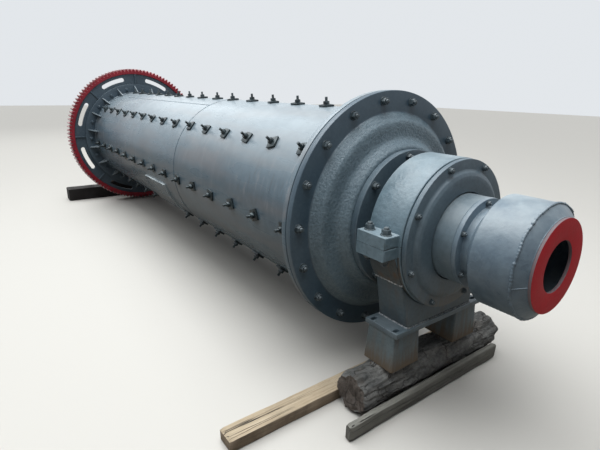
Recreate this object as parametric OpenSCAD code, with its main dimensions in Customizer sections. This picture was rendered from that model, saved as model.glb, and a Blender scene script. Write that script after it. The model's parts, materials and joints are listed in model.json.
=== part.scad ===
// Ball mill on timber blocking: a plate drum carried on two end bearings,
// with a girth gear at the far end and a drum feeder at the near end.
// X runs along the mill towards the feeder, Z is up, the ground is z = 0
// and X = 0 is the middle of the near bearing. Sizes are in millimetres.

/* [Girth gear] */
// gear module
gear_module = 16; // [12:1:18]
// teeth round the gear
gear_teeth = 116; // [100:1:120]
// pressure angle of the teeth
pressure_angle = 20; // [14.5:0.5:25]
// width of the toothed rim along the mill
rim_w = 180; // [140:5:220]
// metal between the tooth roots and the inside of the rim
rim_t = 36; // [28:1:50]
// thickness of the gear web
web_t = 40; // [30:1:50]
// how far the rim stands forward of the web
rim_proud = 20; // [12:1:30]
// long curved slots in the web
web_slots = 8; // [6:1:12]
// width of one web slot
web_slot_w = 55; // [35:1:70]
// angle that one web slot spans between the centres of its round ends
web_slot_span_angle = 20; // [12:1:24]
// first slot's middle, in degrees down the seen flank from the top
web_slot_angle = 66.5; // [0:0.5:90]
// thickness of the radial ribs on the web
web_rib_t = 18; // [10:1:30]
// lowest tooth to the ground
ground_gap = 16; // [8:1:60]

/* [Shell] */
// outside diameter of the plate drum
shell_d = 1220; // [1180:2:1260]
// plate thickness
shell_wall = 20; // [14:1:30]
// drum length between the outer faces of its end flanges
shell_l = 5000; // [4000:10:6000]
// diameter of the near end flange
near_flange_d = 1440; // [1400:2:1500]
// diameter of the far end flange
far_flange_d = 1470; // [1440:2:1520]
// thickness of the two end flanges
end_flange_t = 40; // [30:1:50]
// gusset plates behind the far flange
gussets = 18; // [12:1:24]
// first gusset, in degrees down the seen flank from the top
gusset_angle = 1; // [0:0.5:20]
// length of a gusset along the drum
gusset_l = 155; // [100:5:200]
// height of a gusset at the flange
gusset_h = 102; // [80:1:110]
// gusset plate thickness
gusset_t = 12; // [8:1:20]
// square edge left on a gusset at its two tips
gusset_edge = 12; // [6:1:20]

/* [Manhole] */
// manhole length along the drum
manhole_l = 580; // [400:5:700]
// angle that the manhole cover spans round the drum
manhole_span_angle = 40; // [30:1:50]
// middle of the manhole, in degrees down the seen flank from the top
manhole_angle = 127; // [100:1:160]
// middle of the manhole from the near flange
manhole_from_flange = 2530; // [1500:10:3500]
// width of the frame that the cover seats on
manhole_land = 50; // [30:1:70]
// thickness of the manhole frame
manhole_frame_t = 6; // [4:1:20]
// thickness of the manhole cover
manhole_cover_t = 10; // [6:1:16]

/* [Heads] */
// thickness of the head flange
head_flange_t = 40; // [30:1:50]
// diameter where the dish rises from the flange
dish_foot_d = 1200; // [1150:2:1260]
// diameter at the top of that rise
dish_d = 1100; // [1060:2:1140]
// height of the dish above the flange face
dish_h = 58; // [40:1:70]
// further rise of the dish towards the hub
dish_slope = 10; // [4:1:20]
// diameter where the dish turns up to the hub
hub_foot_d = 904; // [890:2:960]
// diameter of the hub face
hub_d = 846; // [820:2:870]
// height of the hub face above the flange face
hub_h = 120; // [100:1:150]
// metal thickness of the head
head_wall = 52; // [40:1:65]
// rounding of the head's corners
head_round = 12; // [8:1:16]

/* [Trunnions] */
// diameter of the journal
journal_d = 460; // [440:1:480]
// through bore of the trunnion
trunnion_bore_d = 300; // [260:2:340]
// diameter of the trunnion flange on the hub
trunnion_flange_d = 810; // [780:2:830]
// thickness of the trunnion flange
trunnion_flange_t = 40; // [30:1:50]
// journal end beyond the middle of the bearing
journal_reach = 268; // [240:1:320]
// blend between the trunnion flange and the journal
journal_blend = 30; // [15:1:45]

/* [Bearings] */
// middle of a bearing to the flange face of the head beside it
face_gap = 357; // [340:1:400]
// outside diameter of the housing
housing_d = 806; // [790:2:830]
// width of the housing along the mill
housing_w = 220; // [200:2:240]
// metal of the housing round the bearing ring
housing_wall = 63; // [45:1:80]
// lip that keeps the bearing ring in the housing
ring_lip = 20; // [10:1:30]
// width of the bearing ring
ring_w = 160; // [140:2:180]
// running gap between journal and bearing ring, on the radius
running_gap = 0.08; // [0.05:0.01:0.1]
// how far the split lugs stand out from the round of the housing
lug_out = 97; // [60:1:120]
// how deep the lugs are rooted in the round of the housing
lug_root = 60; // [50:1:63]
// width of the split lugs
lug_w = 190; // [160:2:210]
// thickness of each of the two lugs
lug_t = 60; // [45:1:80]
// how far the shoulder under the lower lug stops short of the lug's end
shoulder_inset = 78; // [60:1:100]
// how far the shoulder draws in from the lug down to the pedestal
shoulder_draw = 74; // [40:1:90]
// width of the shoulder along the mill
shoulder_w = 182; // [160:2:200]
// depth of the shoulder's underside below the axis
shoulder_drop = 222; // [180:1:260]

/* [Bearing covers] */
// edge of the housing left outside the cover
cover_inset = 3; // [0:1:10]
// how far the joint step lies in from the cover's edge
cover_step_inset = 12; // [6:1:20]
// thickness of the joint step
cover_step_t = 6; // [3:1:10]
// thickness of the cover at its rim, with the step
cover_t = 32; // [24:1:40]
// flat rim of the cover outside the raised boss
cover_rim = 55; // [40:1:70]
// rounded slope of the raised boss, measured along the radius
boss_slope = 45; // [30:1:60]
// height of the raised boss
boss_h = 22; // [12:1:30]
// gap round the turning journal in both covers, on the radius
seal_gap = 6; // [5:1:10]
// thickness of the inner cover beside the head
inner_cover_t = 24; // [16:1:30]
// lap of the inner cover over the housing's bore
inner_cover_lap = 30; // [20:1:40]

/* [Pedestals] */
// how far the pedestal's top lies in from the shoulder, on each side
pedestal_step = 4; // [1:1:12]
// how far the pedestal's foot lies in from the end of the base plate
pedestal_foot_inset = 94; // [80:1:120]
// how far the pedestal's foot lies in from the side of the base plate
pedestal_side_inset = 12; // [6:1:30]
// width of the base plate along the mill
base_w = 228; // [200:2:250]
// length of the base plate across the mill
base_l = 742; // [700:2:780]
// thickness of the base plate
base_t = 30; // [20:1:40]
// middle of a bolt slot from the side of the base plate
slot_from_side = 34; // [24:1:40]
// middle of a bolt slot from the end of the base plate
slot_from_end = 32; // [28:1:50]
// width of a bolt slot
slot_w = 22; // [16:1:30]
// full length of a bolt slot, across the mill
slot_l = 44; // [30:1:60]

/* [Feet] */
// width of a foot box at its top, along the mill
foot_w = 190; // [170:2:220]
// length of a foot box at its top, across the mill
foot_l = 200; // [160:2:210]
// height of a foot box
foot_h = 208; // [160:1:240]
// how far a foot box spreads on each side down to the log
foot_spread = 10; // [0:1:20]
// plate thickness of the foot boxes
foot_wall = 12; // [8:1:16]
// outer face of a foot box from the end of the base plate
foot_inset = 6; // [0:1:20]

// play of a foot in its seat on the log, at each end of the foot
seat_play = 10; // [4:1:20]

/* [Timbers] */
// diameter of the log under the near bearing
log_d = 248; // [220:2:280]
// flat on the underside of the log
log_flat = 4; // [2:1:8]
// depth of the seat cut in the top of the log
log_seat = 4; // [2:1:8]
// log end on the seen flank, from the mill axis
log_end_seen = 560; // [450:5:700]
// log end on the other flank
log_end_far = 700; // [450:5:900]
// log axis ahead of the middle of the bearing
log_shift = -10; // [-20:1:20]
// section of the squared timber in front of the log: width
front_chock_w = 46; // [40:1:70]
// and height
front_chock_h = 98; // [70:1:110]
// front timber end on the seen flank
front_chock_seen = 700; // [500:5:900]
// front timber end on the other flank
front_chock_far = 600; // [400:5:800]
// section of the squared timber behind the log: width
rear_chock_w = 112; // [60:1:160]
// and height
rear_chock_h = 70; // [50:1:100]
// rear timber end on the seen flank
rear_chock_seen = 1215; // [600:5:1400]
// rear timber end on the other flank
rear_chock_far = 920; // [300:5:1000]
// section of the squared beam under the far bearing: width
beam_w = 220; // [200:2:260]
// and height
beam_h = 175; // [140:1:200]
// length of the far beam across the mill
beam_l = 2000; // [1200:10:2400]
// length of the packing plank on the far beam
packer_l = 900; // [800:10:1200]

/* [Feeder] */
// diameter of the feeder drum
feeder_d = 544; // [500:2:600]
// plate thickness of the feeder
feeder_wall = 10; // [6:1:16]
// diameter of the flange bolted to the journal end
feeder_flange_d = 462; // [440:2:480]
// thickness of that flange
feeder_flange_t = 25; // [16:1:35]
// diameter of the short neck behind the drum
feeder_neck_d = 380; // [340:2:420]
// length of the straight part of the neck
feeder_neck_l = 37; // [20:1:60]
// length of the rear cone
rear_cone_l = 55; // [30:1:80]
// length of the straight drum
feeder_l = 201; // [150:1:260]
// length of the front cone
front_cone_l = 46; // [30:1:80]
// diameter of the end ring
end_ring_d = 442; // [400:2:480]
// thickness of the end ring
end_ring_t = 14; // [8:1:20]
// feed opening in the end ring
feed_hole_d = 244; // [200:2:290]

/* [Hidden] */
pitch_r = gear_module * gear_teeth / 2;
tip_r = pitch_r + gear_module;
root_r = pitch_r - 1.25 * gear_module;
base_r = pitch_r * cos(pressure_angle);
tooth_h = tip_r - root_r;
rim_in_r = root_r - rim_t;
axis_h = tip_r + ground_gap;
shell_r = shell_d / 2;
journal_r = journal_d / 2;

// bearing, housing and covers fit into one another
housing_r = housing_d / 2;
ring_r = housing_r - housing_wall;
housing_bore_r = ring_r - ring_lip;
lug_reach = housing_r + lug_out;
shoulder_reach = lug_reach - shoulder_inset;
cover_r = housing_r - cover_inset;
boss_r = cover_r - cover_rim;
inner_cover_r = housing_bore_r + inner_cover_lap;
shoulder_foot = shoulder_reach - shoulder_draw;

// stations along the mill
near_face_x = -face_gap;
near_joint_x = near_face_x - head_flange_t;
far_joint_x = near_joint_x - shell_l;
far_head_x = far_joint_x - web_t;
far_face_x = far_head_x - head_flange_t;
far_bearing_x = far_face_x - face_gap;
feeder_x = journal_reach + feeder_flange_t;
drum_x = feeder_x + feeder_neck_l + rear_cone_l;
front_cone_x = drum_x + feeder_l;
end_ring_x = front_cone_x + front_cone_l;

// heights of the stand
log_r = log_d / 2;
log_z = log_r - log_flat;
seat_z = log_z + log_r - log_seat;
foot_top_z = seat_z + foot_h;
base_top_z = foot_top_z + base_t;
pedestal_h = axis_h - shoulder_drop - base_top_z;

// the squared timbers bear on the round of the log along one edge
front_chock_x = log_shift + sqrt(pow(log_r, 2) - pow(log_z - front_chock_h, 2));
rear_chock_x = log_shift - sqrt(pow(log_r, 2) - pow(log_z - rear_chock_h, 2));

hub_u = hub_h;
flange_u = hub_u + trunnion_flange_t;
web_slot_r = (far_flange_d / 2 + rim_in_r) / 2;
eps = 1;

paint = [0.62, 0.68, 0.71];
slate = [0.22, 0.27, 0.30];
red = [0.42, 0.10, 0.12];
steel = [0.55, 0.56, 0.57];
timber = [0.42, 0.37, 0.31];

// puts a profile drawn as [radius, distance] round the mill axis;
// angles run from the top down the seen flank
module on_axis(x = 0) {
    translate([x, 0, axis_h])
        rotate([0, 90, 0])
            rotate([0, 0, 180])
                children();
}

// the same, measured outwards from the far end
module at_far_end(x) {
    translate([x, 0, 0])
        mirror([1, 0, 0])
            children();
}

module revolved(points) {
    rotate_extrude($fn = 96)
        polygon(points);
}

module ring(r_out, r_in, x0, x1) {
    revolved([[r_in, x0], [r_out, x0], [r_out, x1], [r_in, x1]]);
}

// curved plate on the drum, centred on an angle
module shell_patch(r0, r1, span, length, angle) {
    rotate([0, 0, angle - span / 2])
        rotate_extrude(angle = span, $fn = 96)
            translate([r0, -length / 2])
                square([r1 - r0, length]);
}

// girth gear

function on_circle(r, a) = [r * cos(a), r * sin(a)];

// half the angle that a tooth takes up at a radius, on involute flanks
function involute(angle) = tan(angle) * 180 / PI - angle;
function half_tooth(r) =
    90 / gear_teeth + involute(pressure_angle) - involute(acos(base_r / r));

// one tooth: up one flank from the root to the tip and down the other
flank_radii = [root_r, root_r + 0.3 * tooth_h, root_r + 0.65 * tooth_h, tip_r];
function tooth(a) = concat(
    [for (k = [0 : 3]) on_circle(flank_radii[k], a - half_tooth(flank_radii[k]))],
    [for (k = [3 : -1 : 0]) on_circle(flank_radii[k], a + half_tooth(flank_radii[k]))]
);

module gear_rim() {
    color(red)
        on_axis(far_joint_x + rim_proud - rim_w)
            difference() {
                linear_extrude(rim_w)
                    polygon([for (k = [0 : gear_teeth - 1]) each tooth(k * 360 / gear_teeth)]);
                translate([0, 0, -eps])
                    cylinder(r = rim_in_r, h = rim_w + 2 * eps, $fn = 180);
            }
}

// kidney slot outline: two arcs about the mill axis joined by round ends
function slot_end(a, turn) = [
    for (k = [1 : 5])
        on_circle(web_slot_r, a) + on_circle(web_slot_w / 2, turn + k * 30)
];
function slot_arc(r, a0, a1) = [for (k = [0 : 6]) on_circle(r, a0 + k * (a1 - a0) / 6)];
function web_slot(a) = concat(
    slot_arc(web_slot_r + web_slot_w / 2, a - web_slot_span_angle / 2, a + web_slot_span_angle / 2),
    slot_end(a + web_slot_span_angle / 2, a + web_slot_span_angle / 2),
    slot_arc(web_slot_r - web_slot_w / 2, a + web_slot_span_angle / 2, a - web_slot_span_angle / 2),
    slot_end(a - web_slot_span_angle / 2, a - web_slot_span_angle / 2 + 180)
);

module gear_web() {
    color(slate)
        on_axis(far_head_x)
            difference() {
                cylinder(r = rim_in_r, h = web_t, $fn = 180);
                translate([0, 0, -eps])
                    cylinder(r = shell_r - shell_wall, h = web_t + 2 * eps, $fn = 128);
                for (k = [0 : web_slots - 1])
                    translate([0, 0, -eps])
                        linear_extrude(web_t + 2 * eps)
                            polygon(web_slot(web_slot_angle + k * 360 / web_slots));
            }
}

module gear_ribs() {
    rib_in = far_flange_d / 2;
    color(slate)
        on_axis(far_joint_x)
            for (k = [0 : web_slots - 1])
                rotate([0, 0, web_slot_angle + (k + 0.5) * 360 / web_slots])
                    intersection() {
                        translate([rib_in - 20, -web_rib_t / 2, 0])
                            cube([rim_in_r - rib_in + 40, web_rib_t, rim_proud]);
                        ring(rim_in_r, rib_in, 0, rim_proud);
                    }
}

// drum

module shell() {
    color(paint)
        difference() {
            on_axis(far_joint_x)
                ring(shell_r, shell_r - shell_wall, 0, shell_l);
            on_axis(near_joint_x - manhole_from_flange)
                shell_patch(
                    shell_r - 2 * shell_wall,
                    shell_r + shell_wall,
                    manhole_span_angle - 2 * manhole_land / shell_r * 180 / PI,
                    manhole_l - 2 * manhole_land,
                    manhole_angle
                );
        }
}

module near_shell_flange() {
    color(slate)
        on_axis(near_joint_x - end_flange_t)
            ring(near_flange_d / 2, shell_r, 0, end_flange_t);
}

module far_shell_flange() {
    color(slate)
        on_axis(far_joint_x)
            ring(far_flange_d / 2, shell_r, 0, end_flange_t);
}

module shell_gussets() {
    color(slate)
        on_axis(far_joint_x + end_flange_t)
            for (k = [0 : gussets - 1])
                rotate([0, 0, gusset_angle + k * 360 / gussets])
                    difference() {
                        translate([0, gusset_t / 2, 0])
                            rotate([90, 0, 0])
                                linear_extrude(gusset_t)
                                    polygon([
                                        [shell_r - shell_wall, 0],
                                        [shell_r + gusset_h, 0],
                                        [shell_r + gusset_h, gusset_edge],
                                        [shell_r + gusset_edge, gusset_l],
                                        [shell_r - shell_wall, gusset_l]
                                    ]);
                        translate([0, 0, -eps])
                            cylinder(r = shell_r, h = gusset_l + 2 * eps, $fn = 128);
                    }
}

module manhole_frame() {
    color(slate)
        on_axis(near_joint_x - manhole_from_flange)
            difference() {
                shell_patch(
                    shell_r,
                    shell_r + manhole_frame_t,
                    manhole_span_angle,
                    manhole_l,
                    manhole_angle
                );
                shell_patch(
                    shell_r - manhole_frame_t,
                    shell_r + 2 * manhole_frame_t,
                    manhole_span_angle - 2 * manhole_land / shell_r * 180 / PI,
                    manhole_l - 2 * manhole_land,
                    manhole_angle
                );
            }
}

module manhole_cover() {
    seat_r = shell_r + manhole_frame_t;
    color(paint)
        on_axis(near_joint_x - manhole_from_flange)
            shell_patch(
                seat_r,
                seat_r + manhole_cover_t,
                manhole_span_angle,
                manhole_l,
                manhole_angle
            );
}

// heads and trunnions, drawn outwards from the flange face

module head(flange_r) {
    dish_foot_r = dish_foot_d / 2;
    dish_r = dish_d / 2;
    hub_foot_r = hub_foot_d / 2;
    hub_r = hub_d / 2;
    rise_u = dish_h + dish_slope;
    revolved([
        [trunnion_bore_d / 2, hub_u - head_wall],
        [hub_r - head_wall, hub_u - head_wall],
        [hub_foot_r - head_wall, rise_u - head_wall],
        [dish_r - head_wall, dish_h - head_wall],
        [dish_foot_r - head_wall, -head_flange_t],
        [flange_r, -head_flange_t],
        [flange_r, 0],
        [dish_foot_r + head_round / 2, 0],
        [dish_foot_r - head_round / 2, head_round / 2],
        [dish_r + head_round, dish_h - head_round],
        [dish_r + head_round / 3, dish_h - head_round / 3],
        [dish_r - head_round, dish_h],
        [hub_foot_r + head_round, rise_u - head_round / 4],
        [hub_foot_r, rise_u + head_round / 3],
        [hub_foot_r - head_round / 2, rise_u + head_round],
        [hub_r + head_round / 3, hub_u - head_round],
        [hub_r - head_round / 3, hub_u - head_round / 3],
        [hub_r - head_round, hub_u],
        [trunnion_bore_d / 2, hub_u]
    ]);
}

module trunnion() {
    revolved([
        [trunnion_bore_d / 2, hub_u],
        [trunnion_flange_d / 2, hub_u],
        [trunnion_flange_d / 2, flange_u],
        [journal_r + journal_blend, flange_u],
        [journal_r + journal_blend * 0.3, flange_u + journal_blend * 0.3],
        [journal_r, flange_u + journal_blend],
        [journal_r, face_gap + journal_reach],
        [trunnion_bore_d / 2, face_gap + journal_reach]
    ]);
}

module near_head() {
    color(slate)
        on_axis(near_face_x)
            head(near_flange_d / 2);
}

module far_head() {
    color(slate)
        at_far_end(far_face_x)
            on_axis()
                head(near_flange_d / 2);
}

module near_trunnion() {
    color(steel)
        on_axis(near_face_x)
            trunnion();
}

module far_trunnion() {
    color(steel)
        at_far_end(far_face_x)
            on_axis()
                trunnion();
}

// bearings, drawn round the middle of the bearing with the mill on the -X side

module bearing_ring() {
    on_axis()
        ring(ring_r, journal_r + running_gap, -ring_w / 2, ring_w / 2);
}

module housing_bore() {
    on_axis() {
        translate([0, 0, -ring_w / 2])
            cylinder(r = ring_r, h = ring_w, $fn = 128);
        translate([0, 0, -housing_w])
            cylinder(r = housing_bore_r, h = 2 * housing_w, $fn = 128);
    }
}

module housing_round() {
    on_axis(-housing_w / 2)
        cylinder(r = housing_r, h = housing_w, $fn = 128);
}

module lugs(z0) {
    for (side = [-1, 1])
        translate([-lug_w / 2, side > 0 ? housing_r - lug_root : -lug_reach, z0])
            cube([lug_w, lug_out + lug_root, lug_t]);
}

module housing_cap() {
    difference() {
        union() {
            intersection() {
                housing_round();
                translate([-housing_w, -housing_d, axis_h])
                    cube([2 * housing_w, 2 * housing_d, housing_d]);
            }
            lugs(axis_h);
        }
        housing_bore();
    }
}

module housing_base() {
    difference() {
        union() {
            intersection() {
                housing_round();
                translate([-housing_w, -housing_d, axis_h - housing_d])
                    cube([2 * housing_w, 2 * housing_d, housing_d]);
            }
            lugs(axis_h - lug_t);
            translate([-shoulder_w / 2, 0, axis_h])
                rotate([90, 0, 90])
                    linear_extrude(shoulder_w)
                        polygon([
                            [-shoulder_reach, -lug_t],
                            [-shoulder_reach, -lug_t / 2],
                            [shoulder_reach, -lug_t / 2],
                            [shoulder_reach, -lug_t],
                            [shoulder_foot, -shoulder_drop],
                            [-shoulder_foot, -shoulder_drop]
                        ]);
        }
        housing_bore();
    }
}

module outer_cover() {
    step_r = cover_r - cover_step_inset;
    on_axis(housing_w / 2)
        revolved([
            [journal_r + seal_gap, 0],
            [step_r, 0],
            [step_r, cover_step_t],
            [cover_r, cover_step_t],
            [cover_r, cover_t],
            [boss_r, cover_t],
            [boss_r - 0.25 * boss_slope, cover_t + 0.62 * boss_h],
            [boss_r - 0.6 * boss_slope, cover_t + 0.92 * boss_h],
            [boss_r - boss_slope, cover_t + boss_h],
            [journal_r + seal_gap, cover_t + boss_h]
        ]);
}

module inner_cover() {
    on_axis(-housing_w / 2 - inner_cover_t)
        ring(inner_cover_r, journal_r + seal_gap, 0, inner_cover_t);
}

// four-sided block that tapers evenly upwards or downwards
module tapered_block(w0, l0, w1, l1, height) {
    intersection() {
        translate([0, max(l0, l1), 0])
            rotate([90, 0, 0])
                linear_extrude(2 * max(l0, l1))
                    polygon([[-w0 / 2, 0], [w0 / 2, 0], [w1 / 2, height], [-w1 / 2, height]]);
        translate([-max(w0, w1), 0, 0])
            rotate([90, 0, 90])
                linear_extrude(2 * max(w0, w1))
                    polygon([[-l0 / 2, 0], [l0 / 2, 0], [l1 / 2, height], [-l1 / 2, height]]);
    }
}

module pedestal() {
    difference() {
        translate([0, 0, base_top_z])
            tapered_block(
                base_w - 2 * pedestal_side_inset,
                base_l - 2 * pedestal_foot_inset,
                shoulder_w - 2 * pedestal_step,
                2 * (shoulder_foot - pedestal_step),
                pedestal_h
            );
        housing_round();
    }
}

module base_plate() {
    difference() {
        translate([-base_w / 2, -base_l / 2, foot_top_z])
            cube([base_w, base_l, base_t]);
        for (sx = [-1, 1])
            for (sy = [-1, 1])
                translate([
                    sx * (base_w / 2 - slot_from_side),
                    sy * (base_l / 2 - slot_from_end),
                    foot_top_z - eps
                ])
                    bolt_slot();
    }
}

module bolt_slot() {
    straight = slot_l - slot_w;
    depth = base_t + 2 * eps;
    translate([-slot_w / 2, -straight / 2, 0])
        cube([slot_w, straight, depth]);
    for (side = [-1, 1])
        translate([0, side * straight / 2, 0])
            cylinder(d = slot_w, h = depth, $fn = 32);
}

module feet() {
    middle = base_l / 2 - foot_inset - foot_l / 2;
    for (side = [-1, 1])
        translate([0, side * middle, seat_z])
            difference() {
                foot_block(0);
                translate([0, 0, foot_wall])
                    foot_block(foot_wall);
            }
}

// a foot box, or the space inside it when drawn in by the wall
module foot_block(wall) {
    tapered_block(
        foot_w + 2 * foot_spread - 2 * wall,
        foot_l + 2 * foot_spread - 2 * wall,
        foot_w - 2 * wall,
        foot_l - 2 * wall,
        foot_h
    );
}

module near_feet() {
    color(paint)
        feet();
}

module near_base_plate() {
    color(paint)
        base_plate();
}

module near_pedestal() {
    color(paint)
        pedestal();
}

module near_housing_base() {
    color(paint)
        housing_base();
}

module near_housing_cap() {
    color(paint)
        housing_cap();
}

module near_bearing() {
    color(steel)
        bearing_ring();
}

module near_outer_cover() {
    color(slate)
        outer_cover();
}

module near_inner_cover() {
    color(slate)
        inner_cover();
}

module far_feet() {
    color(paint)
        at_far_end(far_bearing_x)
            feet();
}

module far_base_plate() {
    color(paint)
        at_far_end(far_bearing_x)
            base_plate();
}

module far_pedestal() {
    color(paint)
        at_far_end(far_bearing_x)
            pedestal();
}

module far_housing_base() {
    color(paint)
        at_far_end(far_bearing_x)
            housing_base();
}

module far_housing_cap() {
    color(paint)
        at_far_end(far_bearing_x)
            housing_cap();
}

module far_bearing() {
    color(steel)
        at_far_end(far_bearing_x)
            bearing_ring();
}

module far_outer_cover() {
    color(slate)
        at_far_end(far_bearing_x)
            outer_cover();
}

module far_inner_cover() {
    color(slate)
        at_far_end(far_bearing_x)
            inner_cover();
}

// timbers

module log() {
    seat_l = foot_l + 2 * foot_spread + 2 * seat_play;
    seat_in = base_l / 2 - foot_inset - foot_l / 2 - seat_l / 2;
    color(timber)
        difference() {
            translate([log_shift, -log_end_seen, log_z])
                rotate([-90, 0, 0])
                    cylinder(r = log_r, h = log_end_seen + log_end_far, $fn = 64);
            translate([-log_d, -log_end_seen - eps, -log_d])
                cube([2 * log_d, log_end_seen + log_end_far + 2 * eps, log_d]);
            for (side = [-1, 1])
                translate([-log_d, side > 0 ? seat_in : -seat_in - seat_l, seat_z])
                    cube([2 * log_d, seat_l, log_d]);
        }
}

module front_chock() {
    color(timber)
        translate([front_chock_x, -front_chock_seen, 0])
            cube([front_chock_w, front_chock_seen + front_chock_far, front_chock_h]);
}

module rear_chock() {
    color(timber)
        translate([rear_chock_x - rear_chock_w, -rear_chock_seen, 0])
            cube([rear_chock_w, rear_chock_seen + rear_chock_far, rear_chock_h]);
}

module far_beam() {
    color(timber)
        translate([far_bearing_x - beam_w / 2, -beam_l / 2, 0])
            cube([beam_w, beam_l, beam_h]);
}

module far_packer() {
    color(timber)
        translate([far_bearing_x - beam_w / 2, -packer_l / 2, beam_h])
            cube([beam_w, packer_l, seat_z - beam_h]);
}

// feeder

module feeder_neck() {
    neck_r = feeder_neck_d / 2;
    drum_r = feeder_d / 2;
    color(paint)
        on_axis()
            revolved([
                [trunnion_bore_d / 2, journal_reach],
                [feeder_flange_d / 2, journal_reach],
                [feeder_flange_d / 2, feeder_x],
                [neck_r, feeder_x],
                [neck_r, feeder_x + feeder_neck_l],
                [drum_r, drum_x],
                [drum_r - feeder_wall, drum_x],
                [neck_r - feeder_wall, feeder_x + feeder_neck_l],
                [neck_r - feeder_wall, feeder_x],
                [trunnion_bore_d / 2, feeder_x]
            ]);
}

module feeder_drum() {
    color(paint)
        on_axis()
            ring(feeder_d / 2, feeder_d / 2 - feeder_wall, drum_x, front_cone_x);
}

module feeder_cone() {
    color(paint)
        on_axis()
            revolved([
                [feeder_d / 2 - feeder_wall, front_cone_x],
                [feeder_d / 2, front_cone_x],
                [end_ring_d / 2, end_ring_x],
                [end_ring_d / 2 - feeder_wall, end_ring_x]
            ]);
}

module feeder_ring() {
    color(red)
        on_axis()
            ring(end_ring_d / 2, feed_hole_d / 2, end_ring_x, end_ring_x + end_ring_t);
}

log();
front_chock();
rear_chock();
far_beam();
far_packer();
near_feet();
near_base_plate();
near_pedestal();
near_housing_base();
near_housing_cap();
near_bearing();
near_outer_cover();
near_inner_cover();
far_feet();
far_base_plate();
far_pedestal();
far_housing_base();
far_housing_cap();
far_bearing();
far_outer_cover();
far_inner_cover();
shell();
near_shell_flange();
far_shell_flange();
shell_gussets();
manhole_frame();
manhole_cover();
near_head();
far_head();
near_trunnion();
far_trunnion();
gear_rim();
gear_web();
gear_ribs();
feeder_neck();
feeder_drum();
feeder_cone();
feeder_ring();
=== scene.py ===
import json
import math
import random

import bpy
import numpy as np
from mathutils import Matrix, Vector, noise


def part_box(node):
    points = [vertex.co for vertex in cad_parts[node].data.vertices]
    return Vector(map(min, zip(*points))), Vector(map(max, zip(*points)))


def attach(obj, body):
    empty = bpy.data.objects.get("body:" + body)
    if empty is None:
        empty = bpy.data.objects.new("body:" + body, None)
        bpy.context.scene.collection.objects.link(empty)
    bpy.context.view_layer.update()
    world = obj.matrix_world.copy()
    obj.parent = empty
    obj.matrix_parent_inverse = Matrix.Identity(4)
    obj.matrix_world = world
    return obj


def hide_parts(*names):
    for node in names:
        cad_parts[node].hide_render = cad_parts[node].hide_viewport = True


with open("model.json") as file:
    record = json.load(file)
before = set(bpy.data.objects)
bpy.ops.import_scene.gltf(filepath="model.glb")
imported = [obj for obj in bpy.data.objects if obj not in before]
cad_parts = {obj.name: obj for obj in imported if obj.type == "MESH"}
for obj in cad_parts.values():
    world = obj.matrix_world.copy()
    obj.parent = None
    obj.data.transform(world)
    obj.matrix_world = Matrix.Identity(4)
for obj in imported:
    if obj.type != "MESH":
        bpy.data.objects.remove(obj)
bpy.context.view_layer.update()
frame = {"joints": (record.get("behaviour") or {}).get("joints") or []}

# The log lies across the mill under the near bearing. It is an old trunk, lumpy and cracked
# all over, with two shallow seats axed flat for the feet and broken, soiled ends.

LOG_R, LOG_X, LOG_Z = 0.124, -0.010, 0.120
LOG_ENDS = (-0.560, 0.700)
LOG_L = LOG_ENDS[1] - LOG_ENDS[0]
LOG_SIDES, LOG_STEPS = 144, 190
SEAT_Z = 0.240
SEATS = (0.145, 0.385)
LUMP, KNOT, FIBRE = 0.015, 0.010, 0.005
# each crack: its angle round the trunk, its twist for each metre, and its depth
CRACKS = (
    (0.9, 0.15, 0.018),
    (2.2, -0.2, 0.014),
    (-2.7, 0.1, 0.012),
    (-0.5, 0.25, 0.014),
    (1.9, 0.3, 0.012),
    (0.3, -0.3, 0.012),
)
CRACK_SPREAD = 0.03
# at a broken end: how far its rim is rounded and its face torn, and how far in each reaches
ROUNDING, ROUNDING_REACH = 0.016, 0.022
TEAR, TEAR_REACH = 0.010, 0.006
# shares of the radius at which rings close a broken end
END_SHARES = (0.12, 0.3, 0.48, 0.64, 0.78, 0.9)


def log_radius(a, y, bearing):
    """How far the trunk reaches at an angle: lumps and cracks, but calm on top where a foot bears on it."""
    around = Vector((math.cos(a) * 1.3, y * 3.0, math.sin(a) * 1.3))
    worn = 0.010 - LUMP * noise.noise(around * 1.5) - KNOT * noise.noise(around * Vector((4, 3.5, 4)))
    worn += FIBRE * noise.noise(around * Vector((9, 7.0, 9)))
    for crack, (at, twist, depth) in enumerate(CRACKS):
        wander = 0.15 * noise.noise(Vector((y * 6, crack, 0)))
        off = math.remainder(a - at - twist * y - wander, 2 * math.pi)
        open_here = max(0.0, noise.noise(Vector((y * 2.5, crack * 7.0, 3.0))) + 0.35)
        worn += depth * open_here * math.exp(-((off / CRACK_SPREAD) ** 2))
    # quite calm within 0.24 radians of the top, and as rough as elsewhere beyond 0.44
    off_top = abs(math.remainder(a - math.pi / 2, 2 * math.pi))
    calm = bearing * max(0.0, min(1.0, 2.2 - off_top / 0.2))
    return LOG_R - max(0.0, worn) * (1 - calm)


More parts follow.
